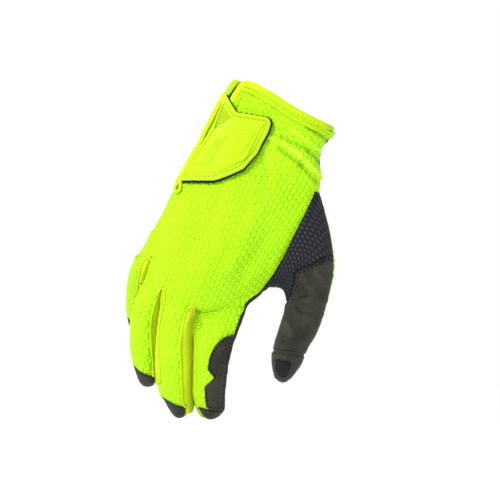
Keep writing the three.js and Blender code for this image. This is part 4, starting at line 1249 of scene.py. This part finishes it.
class Finish:
    """Lays out the nodes of one material."""

    def __init__(self, name, roughness, specular=0.2, **shader):
        self.material = bpy.data.materials.new(name)
        self.material.use_nodes = True
        self.tree = self.material.node_tree
        self.shader = self.tree.nodes["Principled BSDF"]
        self.set("Roughness", roughness)
        self.set("Specular IOR Level", specular)
        for key, value in shader.items():
            self.set(key.replace("_", " ").title(), value)

    def set(self, socket, value):
        self.feed(self.shader.inputs[socket], value)

    def feed(self, socket, value):
        if isinstance(value, bpy.types.NodeSocket):
            self.tree.links.new(value, socket)
        else:
            socket.default_value = value

    def node(self, kind, **values):
        made = self.tree.nodes.new(kind)
        for key, value in values.items():
            setattr(made, key, value)
        return made

    def place(self):
        """The place on the object, in metres."""
        return self.node("ShaderNodeTexCoord").outputs["Object"]

    def axes(self):
        """The three parts of the place on the object."""
        split = self.node("ShaderNodeSeparateXYZ")
        self.feed(split.inputs[0], self.place())
        return split.outputs[0], split.outputs[1], split.outputs[2]

    def cloth(self):
        """The two places on the cloth, in metres."""
        split = self.node("ShaderNodeSeparateXYZ")
        self.feed(split.inputs[0], self.node("ShaderNodeUVMap", uv_map="cloth").outputs[0])
        return split.outputs[0], split.outputs[1]

    def math(self, operation, *values, clamp=False):
        made = self.node("ShaderNodeMath", operation=operation, use_clamp=clamp)
        for socket, value in zip(made.inputs, values):
            self.feed(socket, value)
        return made.outputs[0]

    def times(self, *values):
        return self.math("MULTIPLY", *values)

    def plus(self, *values):
        return self.math("ADD", *values)

    def minus(self, *values):
        return self.math("SUBTRACT", *values)

    def attribute(self, name):
        """A number that the mesh carries at each point."""
        return self.node("ShaderNodeAttribute", attribute_name=name).outputs["Fac"]

    def spread(self, value, low, high):
        """The value as 0 to 1 between two limits, eased."""
        made = self.node("ShaderNodeMapRange", interpolation_type="SMOOTHSTEP")
        for socket, item in zip(made.inputs, (value, low, high)):
            self.feed(socket, item)
        return made.outputs[0]

    def noise(self, scale, detail=2.0, vector=None, stretch=None):
        vector = vector or self.place()
        if stretch:
            mapping = self.node("ShaderNodeMapping")
            self.feed(mapping.inputs["Vector"], vector)
            mapping.inputs["Scale"].default_value = stretch
            vector = mapping.outputs[0]
        made = self.node("ShaderNodeTexNoise")
        self.feed(made.inputs["Vector"], vector)
        made.inputs["Scale"].default_value = scale
        made.inputs["Detail"].default_value = detail
        return made.outputs["Fac"]

    def cells(self, scale):
        made = self.node("ShaderNodeTexVoronoi")
        self.feed(made.inputs["Vector"], self.place())
        made.inputs["Scale"].default_value = scale
        return made.outputs["Distance"]

    def blend(self, factor, low, high):
        made = self.node("ShaderNodeMix", data_type="RGBA")
        self.feed(made.inputs[0], factor)
        self.feed(made.inputs[6], low)
        self.feed(made.inputs[7], high)
        return made.outputs[2]

    def bump(self, height, distance, strength=1.0, over=None):
        made = self.node("ShaderNodeBump")
        made.inputs["Strength"].default_value = strength
        made.inputs["Distance"].default_value = distance
        self.feed(made.inputs["Height"], height)
        if over:
            self.feed(made.inputs["Normal"], over)
        return made.outputs[0]

    def dome(self, across, down, wide, high):
        """A rounded bump about a place where both values are zero."""
        a = self.math("DIVIDE", across, wide)
        b = self.math("DIVIDE", down, high)
        square = self.plus(self.times(a, a), self.times(b, b))
        return self.minus(1.0, self.math("SQRT", square))

    def repeat(self, value, shift=0.0):
        """The value's place in its unit cell, from -0.5 to 0.5."""
        return self.minus(self.math("FRACT", self.plus(value, shift)), 0.5)


def scaled(colour, factor):
    return paint([min(part * factor, 1) for part in colour])


# A painted highlight for the ridges of the knit's creases.
CREST_LIGHT = paint(linear("CCF438"))


def knit_finish(sizes, colours):
    """Staggered slanting scales of knit with faint pinholes between them. Painted shade darkens
    the valleys between the scales, the pinholes, the crease valleys and the knit beside the tab;
    painted highlights lighten the crease ridges.
    """
    finish = Finish("knit", 0.7, 0.2)
    across, down = finish.cloth()
    drift = finish.times(finish.minus(finish.noise(60, 1), 0.5), 0.45)
    v = finish.plus(finish.math("DIVIDE", down, 2 * sizes.knit_row), drift)
    slanted = finish.plus(finish.math("DIVIDE", across, sizes.knit_cell), drift)
    u = finish.plus(slanted, finish.times(v, 0.5))
    first = (finish.repeat(u), finish.repeat(v))
    second = (finish.repeat(u, 0.75), finish.repeat(v, 0.5))
    domes = []
    for left, below in (first, second):
        dome = finish.dome(left, below, *KNIT_SCALE)
        domes.append(finish.plus(dome, finish.times(below, 0.8)))
    height = finish.math("MAXIMUM", *domes)
    x, _, z = finish.axes()
    smoother = finish.times(finish.spread(z, *SMOOTH_WRIST[1]), finish.spread(x, *SMOOTH_WRIST[0]))
    smoother = finish.times(smoother, 0.5)
    height = finish.plus(finish.times(smoother, 0.34),
                         finish.times(height, finish.minus(1.0, smoother)))
    sparse = finish.spread(finish.noise(240, 1), 0.35, 0.6)
    hole = finish.dome(second[0], finish.plus(first[1], 0.02), *KNIT_HOLE)
    hole = finish.times(finish.spread(hole, 0.0, 0.6), sparse)
    low = colours.knit_low
    # Painted shade: the valleys between the scales are coloured darker than their crests.
    colour = finish.blend(finish.spread(height, 0.05, 0.6), paint(low), paint(colours.knit))
    patchy = finish.spread(finish.noise(28, 3), 0.3, 0.7)
    colour = finish.blend(finish.times(patchy, 0.14), colour, scaled(low, 0.8))
    # Painted shade in the pinholes.
    colour = finish.blend(finish.times(hole, 0.55), colour, scaled(low, 0.35))
    # Painted shade in the crease valleys and the tab's painted shadow, then painted highlights on
    # the crease ridges.
    painted_shading = finish.attribute("painted_shading")
    painted_shade = finish.times(finish.spread(painted_shading, 0.5, 0.0), 0.6)
    colour = finish.blend(painted_shade, colour, scaled(low, 0.42))
    painted_highlight = finish.times(finish.spread(painted_shading, 0.5, 1.1), 0.7)
    finish.set("Base Color", finish.blend(painted_highlight, colour, CREST_LIGHT))
    yarn = finish.noise(1500, 2, stretch=(1, 1, 0.4))
    relief = finish.bump(finish.minus(height, finish.times(hole, 0.4)), 0.0014, 0.85)
    finish.set("Normal", finish.bump(yarn, 0.00015, 0.6, relief))
    return finish.material


def lining_finish(name, colour):
    """The plain brushed inside of a panel."""
    finish = Finish(name, 0.95, 0.08)
    patchy = finish.noise(90, 4)
    finish.set("Base Color", finish.blend(patchy, scaled(colour, 0.72), scaled(colour, 0.95)))
    finish.set("Normal", finish.bump(finish.noise(1400, 2), 0.0002, 0.6))
    return finish.material


def gusset_finish(colours):
    """Smooth stretch cloth with fine ribs, darker in the shade of the index finger."""
    finish = Finish("gusset", 0.7, 0.15)
    cloth = colours.gusset
    fine = finish.noise(1300, 2, stretch=(1, 1, 0.3))
    patchy = finish.spread(finish.noise(55, 3), 0.3, 0.7)
    colour = finish.blend(patchy, scaled(cloth, 0.9), scaled(cloth, 1.04))
    colour = finish.blend(finish.times(fine, 0.2), colour, scaled(cloth, 0.75))
    shade = finish.times(finish.attribute("shade"), 0.8)
    finish.set("Base Color", finish.blend(shade, colour, scaled(cloth, 0.5)))
    finish.set("Normal", finish.bump(fine, 0.0002, 0.6))
    return finish.material


def moulded_finish(colours):
    """Soft moulded plastic with a faint grain and dull scuffs, and painted shade on its darker
    faces and along the stitch groove.
    """
    finish = Finish("moulded", 0.5, 0.18)
    grain = finish.noise(900, 3)
    scuff = finish.spread(finish.noise(110, 4), 0.35, 0.75)
    # Painted shade on the triangle and wedge faces and along the stitch groove, added to the
    # scuffs.
    painted_facet_shade = finish.attribute("painted_facet_shade")
    scuffs_and_painted_shade = finish.math("ADD", finish.times(scuff, 0.15), painted_facet_shade, clamp=True)
    finish.set("Base Color", finish.blend(scuffs_and_painted_shade, paint(colours.moulded),
                                          scaled(colours.moulded, 0.72)))
    finish.set("Roughness", finish.plus(0.42, finish.times(scuff, 0.16)))
    finish.set("Normal", finish.bump(grain, 0.00006, 0.5))
    return finish.material


def suede_finish(name, colour, sheen=0.12):
    """Brushed suede: short nap, darker where it is rubbed, with a soft sheen, painted shade in the
    pad's crease valleys and where the tab's painted shadow reaches, and painted highlights on the
    crease ridges.
    """
    finish = Finish(name, 0.93, 0.12, sheen_weight=sheen, sheen_roughness=0.45)
    nap = finish.noise(1700, 4)
    rubbed = finish.spread(finish.noise(62, 5), 0.34, 0.66)
    mixed = finish.blend(rubbed, scaled(colour, 0.55), scaled(colour, 1.45))
    mixed = finish.blend(finish.spread(nap, 0.35, 0.75), mixed, scaled(colour, 1.7))
    # Painted shade in the pad's crease valleys and under the tab's painted shadow, and painted
    # highlights on the crease ridges.
    painted_shading = finish.attribute("painted_shading")
    painted_shade = finish.times(finish.spread(painted_shading, 0.48, 0.25), 0.6)
    mixed = finish.blend(painted_shade, mixed, scaled(colour, 0.4))
    painted_highlight = finish.times(finish.spread(painted_shading, 0.52, 0.75), 0.6)
    finish.set("Base Color", finish.blend(painted_highlight, mixed, scaled(colour, 2.1)))
    creases = finish.bump(finish.noise(260, 4), 0.0005, 0.5)
    finish.set("Normal", finish.bump(nap, 0.00025, 0.8, creases))
    return finish.material


def spacer_finish(sizes, colours):
    """Spacer mesh: rounded beads in staggered rows over gaps, with painted highlights on the bead
    tops and painted shade in the gaps.
    """
    finish = Finish("spacer", 0.78, 0.3)
    across, down = finish.cloth()
    cosine, sine = math.cos(SPACER_TURN), math.sin(SPACER_TURN)
    level = finish.plus(finish.times(across, cosine), finish.times(down, sine))
    plumb = finish.minus(finish.times(down, cosine), finish.times(across, sine))
    u = finish.math("DIVIDE", level, sizes.bead)
    v = finish.math("DIVIDE", plumb, sizes.bead_row * 2)
    domes = [finish.dome(finish.repeat(u, shift), finish.repeat(v, shift), *SPACER_BEAD)
             for shift in (0.0, 0.5)]
    height = finish.spread(finish.math("MAXIMUM", *domes), 0.0, 0.8)
    # Painted highlights on the bead tops and painted shade in the gaps between them.
    finish.set("Base Color", finish.blend(height, scaled(colours.spacer, 0.12),
                                          scaled(colours.spacer, 2.9)))
    relief = finish.bump(height, 0.0024, 1.0)
    finish.set("Normal", finish.bump(finish.noise(1600, 2), 0.0002, 0.6, relief))
    return finish.material


def hook_finish(colours):
    """The hook side of the strap: dense short bristles."""
    finish = Finish("hook", 0.85, 0.25)
    bristles = finish.cells(1500)
    finish.set("Base Color", finish.blend(finish.spread(bristles, 0.1, 0.6),
                                          scaled(colours.black, 1.4),
                                          scaled(colours.black, 0.5)))
    finish.set("Normal", finish.bump(bristles, 0.0006, 0.8))
    return finish.material


def thread_finish(name, colour, specular=0.3):
    """Twisted sewing thread."""
    finish = Finish(name, 0.6, specular)
    twist = finish.noise(2600, 2)
    finish.set("Base Color", finish.blend(twist, scaled(colour, 0.75), scaled(colour, 1.2)))
    finish.set("Normal", finish.bump(twist, 0.0001, 0.6))
    return finish.material


FINISHES = {}


def finishes():
    """All materials, made when they are first asked for."""
    if not FINISHES:
        scene = bpy.context.scene
        sizes, colours = scene.glove_sizes, scene.glove_colours
        FINISHES.update(
            knit=knit_finish(sizes, colours),
            gusset=gusset_finish(colours),
            moulded=moulded_finish(colours),
            suede=suede_finish("suede", colours.suede),
            black=suede_finish("black", colours.black, 0.06),
            spacer=spacer_finish(sizes, colours),
            hook=hook_finish(colours),
            lining=lining_finish("lining", colours.knit_low),
            suede_back=lining_finish("suede_back", [0.16, 0.16, 0.15]),
            shade_thread=thread_finish("shade_thread", [0.2, 0.27, 0.0]),
            dark_thread=thread_finish("dark_thread", [0.004, 0.004, 0.004], 0.03),
        )
    return FINISHES


def cut_panel(name, piece, wall, slot, outside, inside):
    obj = skin().panel(name, piece)
    apply_modifier(obj, "SOLIDIFY", thickness=wall, offset=-1.0, use_rim=True,
                   material_offset=1, material_offset_rim=0)
    made = finishes()
    return dress(obj, slot, made[outside], made[inside], nodes=[piece])


class GLOVE_OT_back_panel(bpy.types.Operator):
    """Sew the knit back of the hand and its fingers"""

    bl_idname = "glove.back_panel"
    bl_label = "Back Panel"

    def execute(self, context):
        sizes = context.scene.glove_sizes
        cut_panel("knit_back", "back_panel", sizes.knit_wall, "knit", "knit", "lining")
        return {"FINISHED"}


class GLOVE_OT_palm_panel(bpy.types.Operator):
    """Sew the suede palm with its wrapped finger tips"""

    bl_idname = "glove.palm_panel"
    bl_label = "Palm Panel"

    def execute(self, context):
        sizes = context.scene.glove_sizes
        cut_panel("suede_palm", "palm_panel", sizes.suede_wall, "suede", "suede", "suede_back")
        return {"FINISHED"}


class GLOVE_OT_gussets(bpy.types.Operator):
    """Sew the side strips between the fingers and their piped edges"""

    bl_idname = "glove.gussets"
    bl_label = "Finger Gussets"

    def execute(self, context):
        sizes = context.scene.glove_sizes
        pipes = []
        for piece in PIECES[2:5]:
            cut_panel(piece.replace("gusset", "side_strip"), piece, sizes.knit_wall,
                      "gusset", "gusset", "lining")
            pipes += skin().seam_runs("back_panel", piece)
        pipes = [path.moved(out=0.5) for path in pipes if len(path.points) > 8]
        piping = cords("fork_piping", pipes, 0.95, 0.85, rounds=8)
        dress(piping, "gusset", finishes()["gusset"])
        return {"FINISHED"}


class GLOVE_OT_thumb_panels(bpy.types.Operator):
    """Sew the thumb from spacer mesh, suede pad, suede tip and its stretch back"""

    bl_idname = "glove.thumb_panels"
    bl_label = "Thumb Panels"

    def execute(self, context):
        sizes = context.scene.glove_sizes
        cut_panel("thumb_spacer", "thumb_mesh", sizes.knit_wall, "spacer", "spacer",
                  "suede_back")
        cut_panel("thumb_suede", "thumb_pad", sizes.suede_wall, "suede", "suede", "suede_back")
        cut_panel("thumb_cap", "thumb_tip", sizes.suede_wall, "suede", "suede", "suede_back")
        cut_panel("thumb_stretch", "thumb_back", sizes.knit_wall, "gusset", "gusset", "lining")
        return {"FINISHED"}


def cuff_run():
    """The middle of the cuff's edge: up one side of the slit and round to the other."""
    glove = skin()
    cuff = glove.loops[0]
    points = glove.cage.points
    ring = [points[i] for i in cuff.back[:SLIT_COLUMNS[0] + 1]][::-1]
    outs = [raised(back_surface, 0.004, i / BACK_COLUMNS, 0)[1]
            for i in range(SLIT_COLUMNS[0], -1, -1)]
    ring += [points[cuff.radial]] + [points[i] for i in cuff.palm]
    ring += [points[cuff.ulnar], points[cuff.back[-1]]]
    middle = sum(ring, Vector()) / len(ring)
    up = from_palm(0, 0, -1)
    for point in ring[len(outs):]:
        away = point - middle
        outs.append((away - up * away.dot(up)).normalized())
    lower = [raised(back_surface, along, SLIT_EDGE_COLUMN / BACK_COLUMNS, lift)
             for along, lift in SLIT_EDGE]
    path = [point for point, _ in lower]
    path += [point - away * 0.65 + up * 1.0 for point, away in zip(ring, outs)]
    return Path(path, [out for _, out in lower] + outs)


class GLOVE_OT_cuff_binding(bpy.types.Operator):
    """Roll the binding over the cuff and sew it down"""

    bl_idname = "glove.cuff_binding"
    bl_label = "Cuff Binding"

    def execute(self, context):
        path = cuff_run().evened(0.7, 3)
        count = len(path.points)
        pucker = 1 + 0.05 * np.sin(np.arange(count) * 0.7 * 2 * math.pi / 3.1)
        parts = [(cord_points(path, CUFF_ROLL[0] * (2 - pucker), CUFF_ROLL[1] * pucker, 20),
                  cord_faces(count, 20, False))]
        binding = join_parts("cuff_roll", parts)
        smooth(binding)
        dress(binding, "gusset", finishes()["gusset"], nodes=["cuff_binding"])
        return {"FINISHED"}


def tab_plate(grow=1.0, layer=TAB_LAYER, rings=46, shift=(0, 0)):
    corners = np.array(TAB_CORNERS)
    middle = corners.mean(axis=0)
    corners = tuple(map(tuple, middle + (corners - middle) * grow + shift))
    return Plate(back_surface, corners, *layer, rings, 0.8, 4)


def shape_tab(plate):
    """Rounds the tab's edge and gives its top the moulded faces. Returns the painted shade of the
    triangle and wedge faces and of the stitch groove.
    """
    spots, inset = plate.plane(), plate.inset
    top = plate.top
    top -= 0.75 * np.exp(-inset / 0.4)
    top -= 0.4 * bell(inset, 0.45, TAB_STITCHES)
    raised_plate = distance_inside(spots, TAB_PLATE)
    top += 0.75 * ease_array((raised_plate + 0.1) / 0.6)
    triangle = distance_inside(spots, TAB_TRIANGLE)
    fall = (spots - np.array(TAB_TRIANGLE[0])) @ np.array((0.35, -0.94))
    top += ease_array(triangle / 0.5) * (0.8 - 0.1 * np.clip(fall, 0, 20))
    top += 0.5 * ease_array((distance_inside(spots, TAB_PANEL) + 0.2) / 0.7)
    wedge = distance_inside(spots, TAB_WEDGE)
    slope = np.clip((spots - np.array(TAB_WEDGE[0])) @ np.array((0.9, -0.3)), 0, 12)
    top += ease_array(wedge / 0.5) * (0.5 - 0.08 * slope)
    # Painted shade: the triangle and the wedge are darkened as faces turned from the light, and
    # the stitch groove as a recess.
    painted_facet_shade = 0.85 * ease_array((triangle + 0.3) / 0.8)
    painted_facet_shade += 0.5 * ease_array(wedge / 0.8)
    return np.clip(painted_facet_shade + 0.5 * bell(inset, 0.5, TAB_STITCHES), 0, 1)


def bristle_fringe(plate, count):
    """Short hooks that stick out along the backing's free edges."""
    chance = random.Random(7)
    edge = plate.base[:plate.count]
    out = plate.out[:plate.count]
    centre = plate.base[-1]
    corner = int(np.argmax(edge[:, 2]))
    parts = []
    for made in range(count):
        i = chance.randrange(plate.count)
        if made % CORNER_BRISTLE == 0:
            i = (corner + chance.randrange(-3, 3)) % plate.count
        if edge[i][0] < COVERED_EDGE[0] and COVERED_EDGE[1] < edge[i][2] < COVERED_EDGE[2]:
            continue
        away = unit(edge[i] - centre)
        lean = Vector(away) + Vector([chance.uniform(-0.6, 0.6) for _ in range(3)])
        start = edge[i] + out[i] * chance.uniform(0.1, 1.0) - away * 0.3
        line = [start + np.array(lean.normalized()) * reach * chance.uniform(0.8, 1.2)
                for reach in (0, 0.35, 0.75)]
        path = Path(line, np.tile(out[i], (3, 1)))
        parts.append((cord_points(path, BRISTLE_RADII, BRISTLE_RADII, 4),
                      cord_faces(3, 4, False)))
    return join_parts("hook_bristles", parts)


class GLOVE_OT_strap(bpy.types.Operator):
    """Build the strap: hook backing, moulded tab and its rolled edge"""

    bl_idname = "glove.strap"
    bl_label = "Strap"

    def execute(self, context):
        sizes = context.scene.glove_sizes
        made = finishes()
        backing = tab_plate(BACKING_GROWS, BACKING_LAYER, 14, BACKING_SHIFT)
        backing.top -= 0.3 * np.exp(-backing.inset / 0.3)
        obj = backing.build("hook_backing")
        smooth(obj, 40)
        dress(obj, "black", made["hook"], nodes=["strap_backing"])
        fringe = bristle_fringe(backing, sizes.bristles)
        dress(fringe, "black", made["black"])
        tab = tab_plate()
        # The tab's painted shade, which its material reads.
        painted_facet_shade = shape_tab(tab)
        obj = tab.build("moulded_tab")
        set_attribute(obj, "painted_facet_shade", np.tile(painted_facet_shade, 2))
        smooth(obj, 60)
        dress(obj, "moulded", made["moulded"], nodes=["strap_tab"])
        rows = stitch_rows("tab_stitches", [tab.contour(TAB_STITCHES, 0.04)], sizes, 0.95)
        dress(rows, "moulded", made["shade_thread"])
        self.rolled_edge(made)
        return {"FINISHED"}

    def rolled_edge(self, made):
        spots = [raised(back_surface, along,
                        STRAP_ROLL_AROUND - 0.004 * math.sin(40 * along), 1.3)
                 for along in np.linspace(*STRAP_ROLL, 60)]
        path = Path([p for p, _ in spots], [n for _, n in spots])
        count = len(path.points)
        swell = 1 + 0.06 * np.sin(np.arange(count) * 1.9) * np.sin(np.arange(count) * 0.37)
        taper = np.minimum(1, 0.35 + np.arange(count)[::-1] / 5)
        parts = [(cord_points(path, 2.6 * swell * taper, 1.5 * taper, 16),
                  cord_faces(count, 16, False))]
        parts.append(self.teardrop())
        obj = join_parts("strap_roll", parts)
        smooth(obj)
        dress(obj, "gusset", made["gusset"], nodes=["strap_binding"])

    def teardrop(self):
        """The small loop of piping where the rolled edge ends."""
        centre, out = raised(back_surface, *TEARDROP_SPOT, 1.7)
        down = Vector((-0.45, 0, -0.9))
        down = (down - out * down.dot(out)).normalized()
        side = out.cross(down)
        line = []
        for angle in np.linspace(0, 2 * math.pi, 28, endpoint=False):
            pinch = 0.62 + 0.38 * math.cos(angle)
            line.append(np.array(centre + down * (TEARDROP_REACH[0] * math.cos(angle))
                                 + side * (TEARDROP_REACH[1] * math.sin(angle) * pinch)))
        path = Path(line, np.tile(np.array(out), (28, 1)), closed=True)
        return cord_points(path, 1.4, 1.3, 10), cord_faces(28, 10, True)


class GLOVE_OT_patches(bpy.types.Operator):
    """Sew the suede patch on the index finger and the touch patch on the thumb"""

    bl_idname = "glove.patches"
    bl_label = "Patches"

    def execute(self, context):
        sizes = context.scene.glove_sizes
        made = finishes()
        patch = Plate(index_surface, INDEX_PATCH_CORNERS, *INDEX_LAYER, 26, 0.8, 3)
        patch.top -= 0.7 * np.exp(-patch.inset / 0.45)
        patch.top -= 0.25 * bell(patch.inset, 0.4, 1.5)
        obj = patch.build("index_suede")
        smooth(obj, 60)
        dress(obj, "suede", made["suede"], nodes=["index_patch"])
        rows = stitch_rows("index_stitches", [patch.contour(1.7, 0.15)], sizes, 1.1)
        dress(rows, "suede", made["dark_thread"])
        touch = Plate(thumb_surface, TOUCH_PATCH_CORNERS, *TOUCH_LAYER, 12, 0.8, 3)
        touch.top -= 0.6 * np.exp(-touch.inset / 0.4)
        obj = touch.build("touch_pad")
        smooth(obj, 60)
        dress(obj, "black", made["black"], nodes=["touch_patch"])
        rows = stitch_rows("touch_stitches", [touch.contour(1.0, 0.05)], sizes, 0.7)
        dress(rows, "black", made["dark_thread"])
        return {"FINISHED"}


class GLOVE_OT_stitches(bpy.types.Operator):
    """Sew the visible rows of stitches beside the seams and the hem"""

    bl_idname = "glove.stitches"
    bl_label = "Stitches"

    def execute(self, context):
        sizes = context.scene.glove_sizes
        made = finishes()
        glove = skin()
        ridge = cords("hem_ridge", [path.moved(out=0.8) for path in self.hem_runs(HEM_RIDGE)],
                      1.2, 0.95)
        dress(ridge, "gusset", made["gusset"])
        hem = [path.evened(0.8, 2).moved(out=-0.1) for path in self.hem_runs(HEM_STITCHES)]
        obj = stitch_rows("hem_stitches", hem, sizes)
        dress(obj, "gusset", made["shade_thread"])
        tips = glove.seam_runs("back_panel", "palm_panel")
        both = [path.evened(0.8, 2).moved(sideways=side, out=0.5)
                for path in tips for side in (-1.3, 1.3)]
        obj = stitch_rows("side_stitches", both, sizes)
        dress(obj, "suede", made["dark_thread"])
        thumb = glove.seam_runs("thumb_mesh", "thumb_pad") + glove.seam_runs("thumb_pad",
                                                                             "thumb_tip")
        both = [path.evened(0.8, 6).moved(sideways=side, out=0.7)
                for path in thumb for side in (-1.7, 1.7)]
        obj = stitch_rows("thumb_stitches", both, sizes, 1.2)
        dress(obj, "suede", made["dark_thread"])
        return {"FINISHED"}

    def hem_runs(self, along):
        """A line under the binding, on the back and on the palm side."""
        rows = []
        for face in (-1, 1):
            line, outs = [], []
            last = SLIT_COLUMNS[0] - 1 if face < 0 else BACK_COLUMNS
            for i in range(last + 1):
                lane = i / LANE_COLUMNS
                here = palm_point(along, lane, face)
                across = palm_point(along, min(lane + 0.05, 4), face) - palm_point(
                    along, max(lane - 0.05, 0), face)
                down = palm_point(along + 0.004, lane, face) - palm_point(
                    along - 0.004, lane, face)
                out = across.cross(down).normalized() * -face
                line.append(here)
                outs.append(out)
            rows.append(Path(line, outs))
        return rows


def area_light(name, place, size, power):
    data = bpy.data.lights.new(name, "AREA")
    data.shape = "DISK"
    data.size = size
    data.energy = power
    obj = bpy.data.objects.new(name, data)
    bpy.context.scene.collection.objects.link(obj)
    obj.location = place
    aim = Vector(STAGE_MIDDLE) - Vector(place)
    obj.rotation_euler = aim.to_track_quat("-Z", "Y").to_euler()


class GLOVE_OT_stage(bpy.types.Operator):
    """Set the pale floor, the soft studio light and the camera"""

    bl_idname = "glove.stage"
    bl_label = "Stage"

    def execute(self, context):
        scene = context.scene
        clear_selection()
        bpy.ops.mesh.primitive_plane_add(size=8, location=(0, 0, FLOOR_HEIGHT))
        floor = context.active_object
        floor.name = "floor"
        finish = Finish("pale_floor", 0.9, 0.1)
        finish.set("Base Color", (0.99, 0.99, 0.99, 1))
        floor.data.materials.append(finish.material)
        world = bpy.data.worlds.new("studio")
        world.use_nodes = True
        world.node_tree.nodes["Background"].inputs[0].default_value = (1, 1, 1, 1)
        world.node_tree.nodes["Background"].inputs[1].default_value = 1.0
        scene.world = world
        for name, place, size, power in LIGHTS:
            area_light(name, place, size, power)
        data = bpy.data.cameras.new("camera")
        data.sensor_width = 36
        data.lens = CAMERA_LENS
        data.clip_start = 0.01
        camera = bpy.data.objects.new("camera", data)
        scene.collection.objects.link(camera)
        camera.location = CAMERA_PLACE
        camera.rotation_euler = (math.pi / 2, 0, 0)
        scene.camera = camera
        scene.view_settings.view_transform = "Standard"
        return {"FINISHED"}


class GLOVE_PT_panel(bpy.types.Panel):
    """Lists the glove's sizes, colours and steps"""

    bl_label = "Riding Glove"
    bl_idname = "GLOVE_PT_panel"
    bl_space_type = "VIEW_3D"
    bl_region_type = "UI"
    bl_category = "Glove"

    def draw(self, context):
        layout = self.layout
        for group in (context.scene.glove_sizes, context.scene.glove_colours):
            column = layout.column(align=True)
            for name in group.__annotations__:
                column.prop(group, name)
        for operator in OPERATORS:
            layout.operator(operator.bl_idname)


OPERATORS = (
    GLOVE_OT_back_panel,
    GLOVE_OT_palm_panel,
    GLOVE_OT_gussets,
    GLOVE_OT_thumb_panels,
    GLOVE_OT_cuff_binding,
    GLOVE_OT_strap,
    GLOVE_OT_patches,
    GLOVE_OT_stitches,
    GLOVE_OT_stage,
)
CLASSES = (GloveSizes, GloveColours, *OPERATORS, GLOVE_PT_panel)


def register():
    for cls in CLASSES:
        bpy.utils.register_class(cls)
    bpy.types.Scene.glove_sizes = PointerProperty(type=GloveSizes)
    bpy.types.Scene.glove_colours = PointerProperty(type=GloveColours)


def unregister():
    del bpy.types.Scene.glove_colours
    del bpy.types.Scene.glove_sizes
    for cls in reversed(CLASSES):
        bpy.utils.unregister_class(cls)


def main():
    register()
    bpy.ops.glove.back_panel()
    bpy.ops.glove.palm_panel()
    bpy.ops.glove.gussets()
    bpy.ops.glove.thumb_panels()
    bpy.ops.glove.cuff_binding()
    bpy.ops.glove.strap()
    bpy.ops.glove.patches()
    bpy.ops.glove.stitches()
    bpy.ops.glove.stage()


if __name__ == "__main__":
    main()
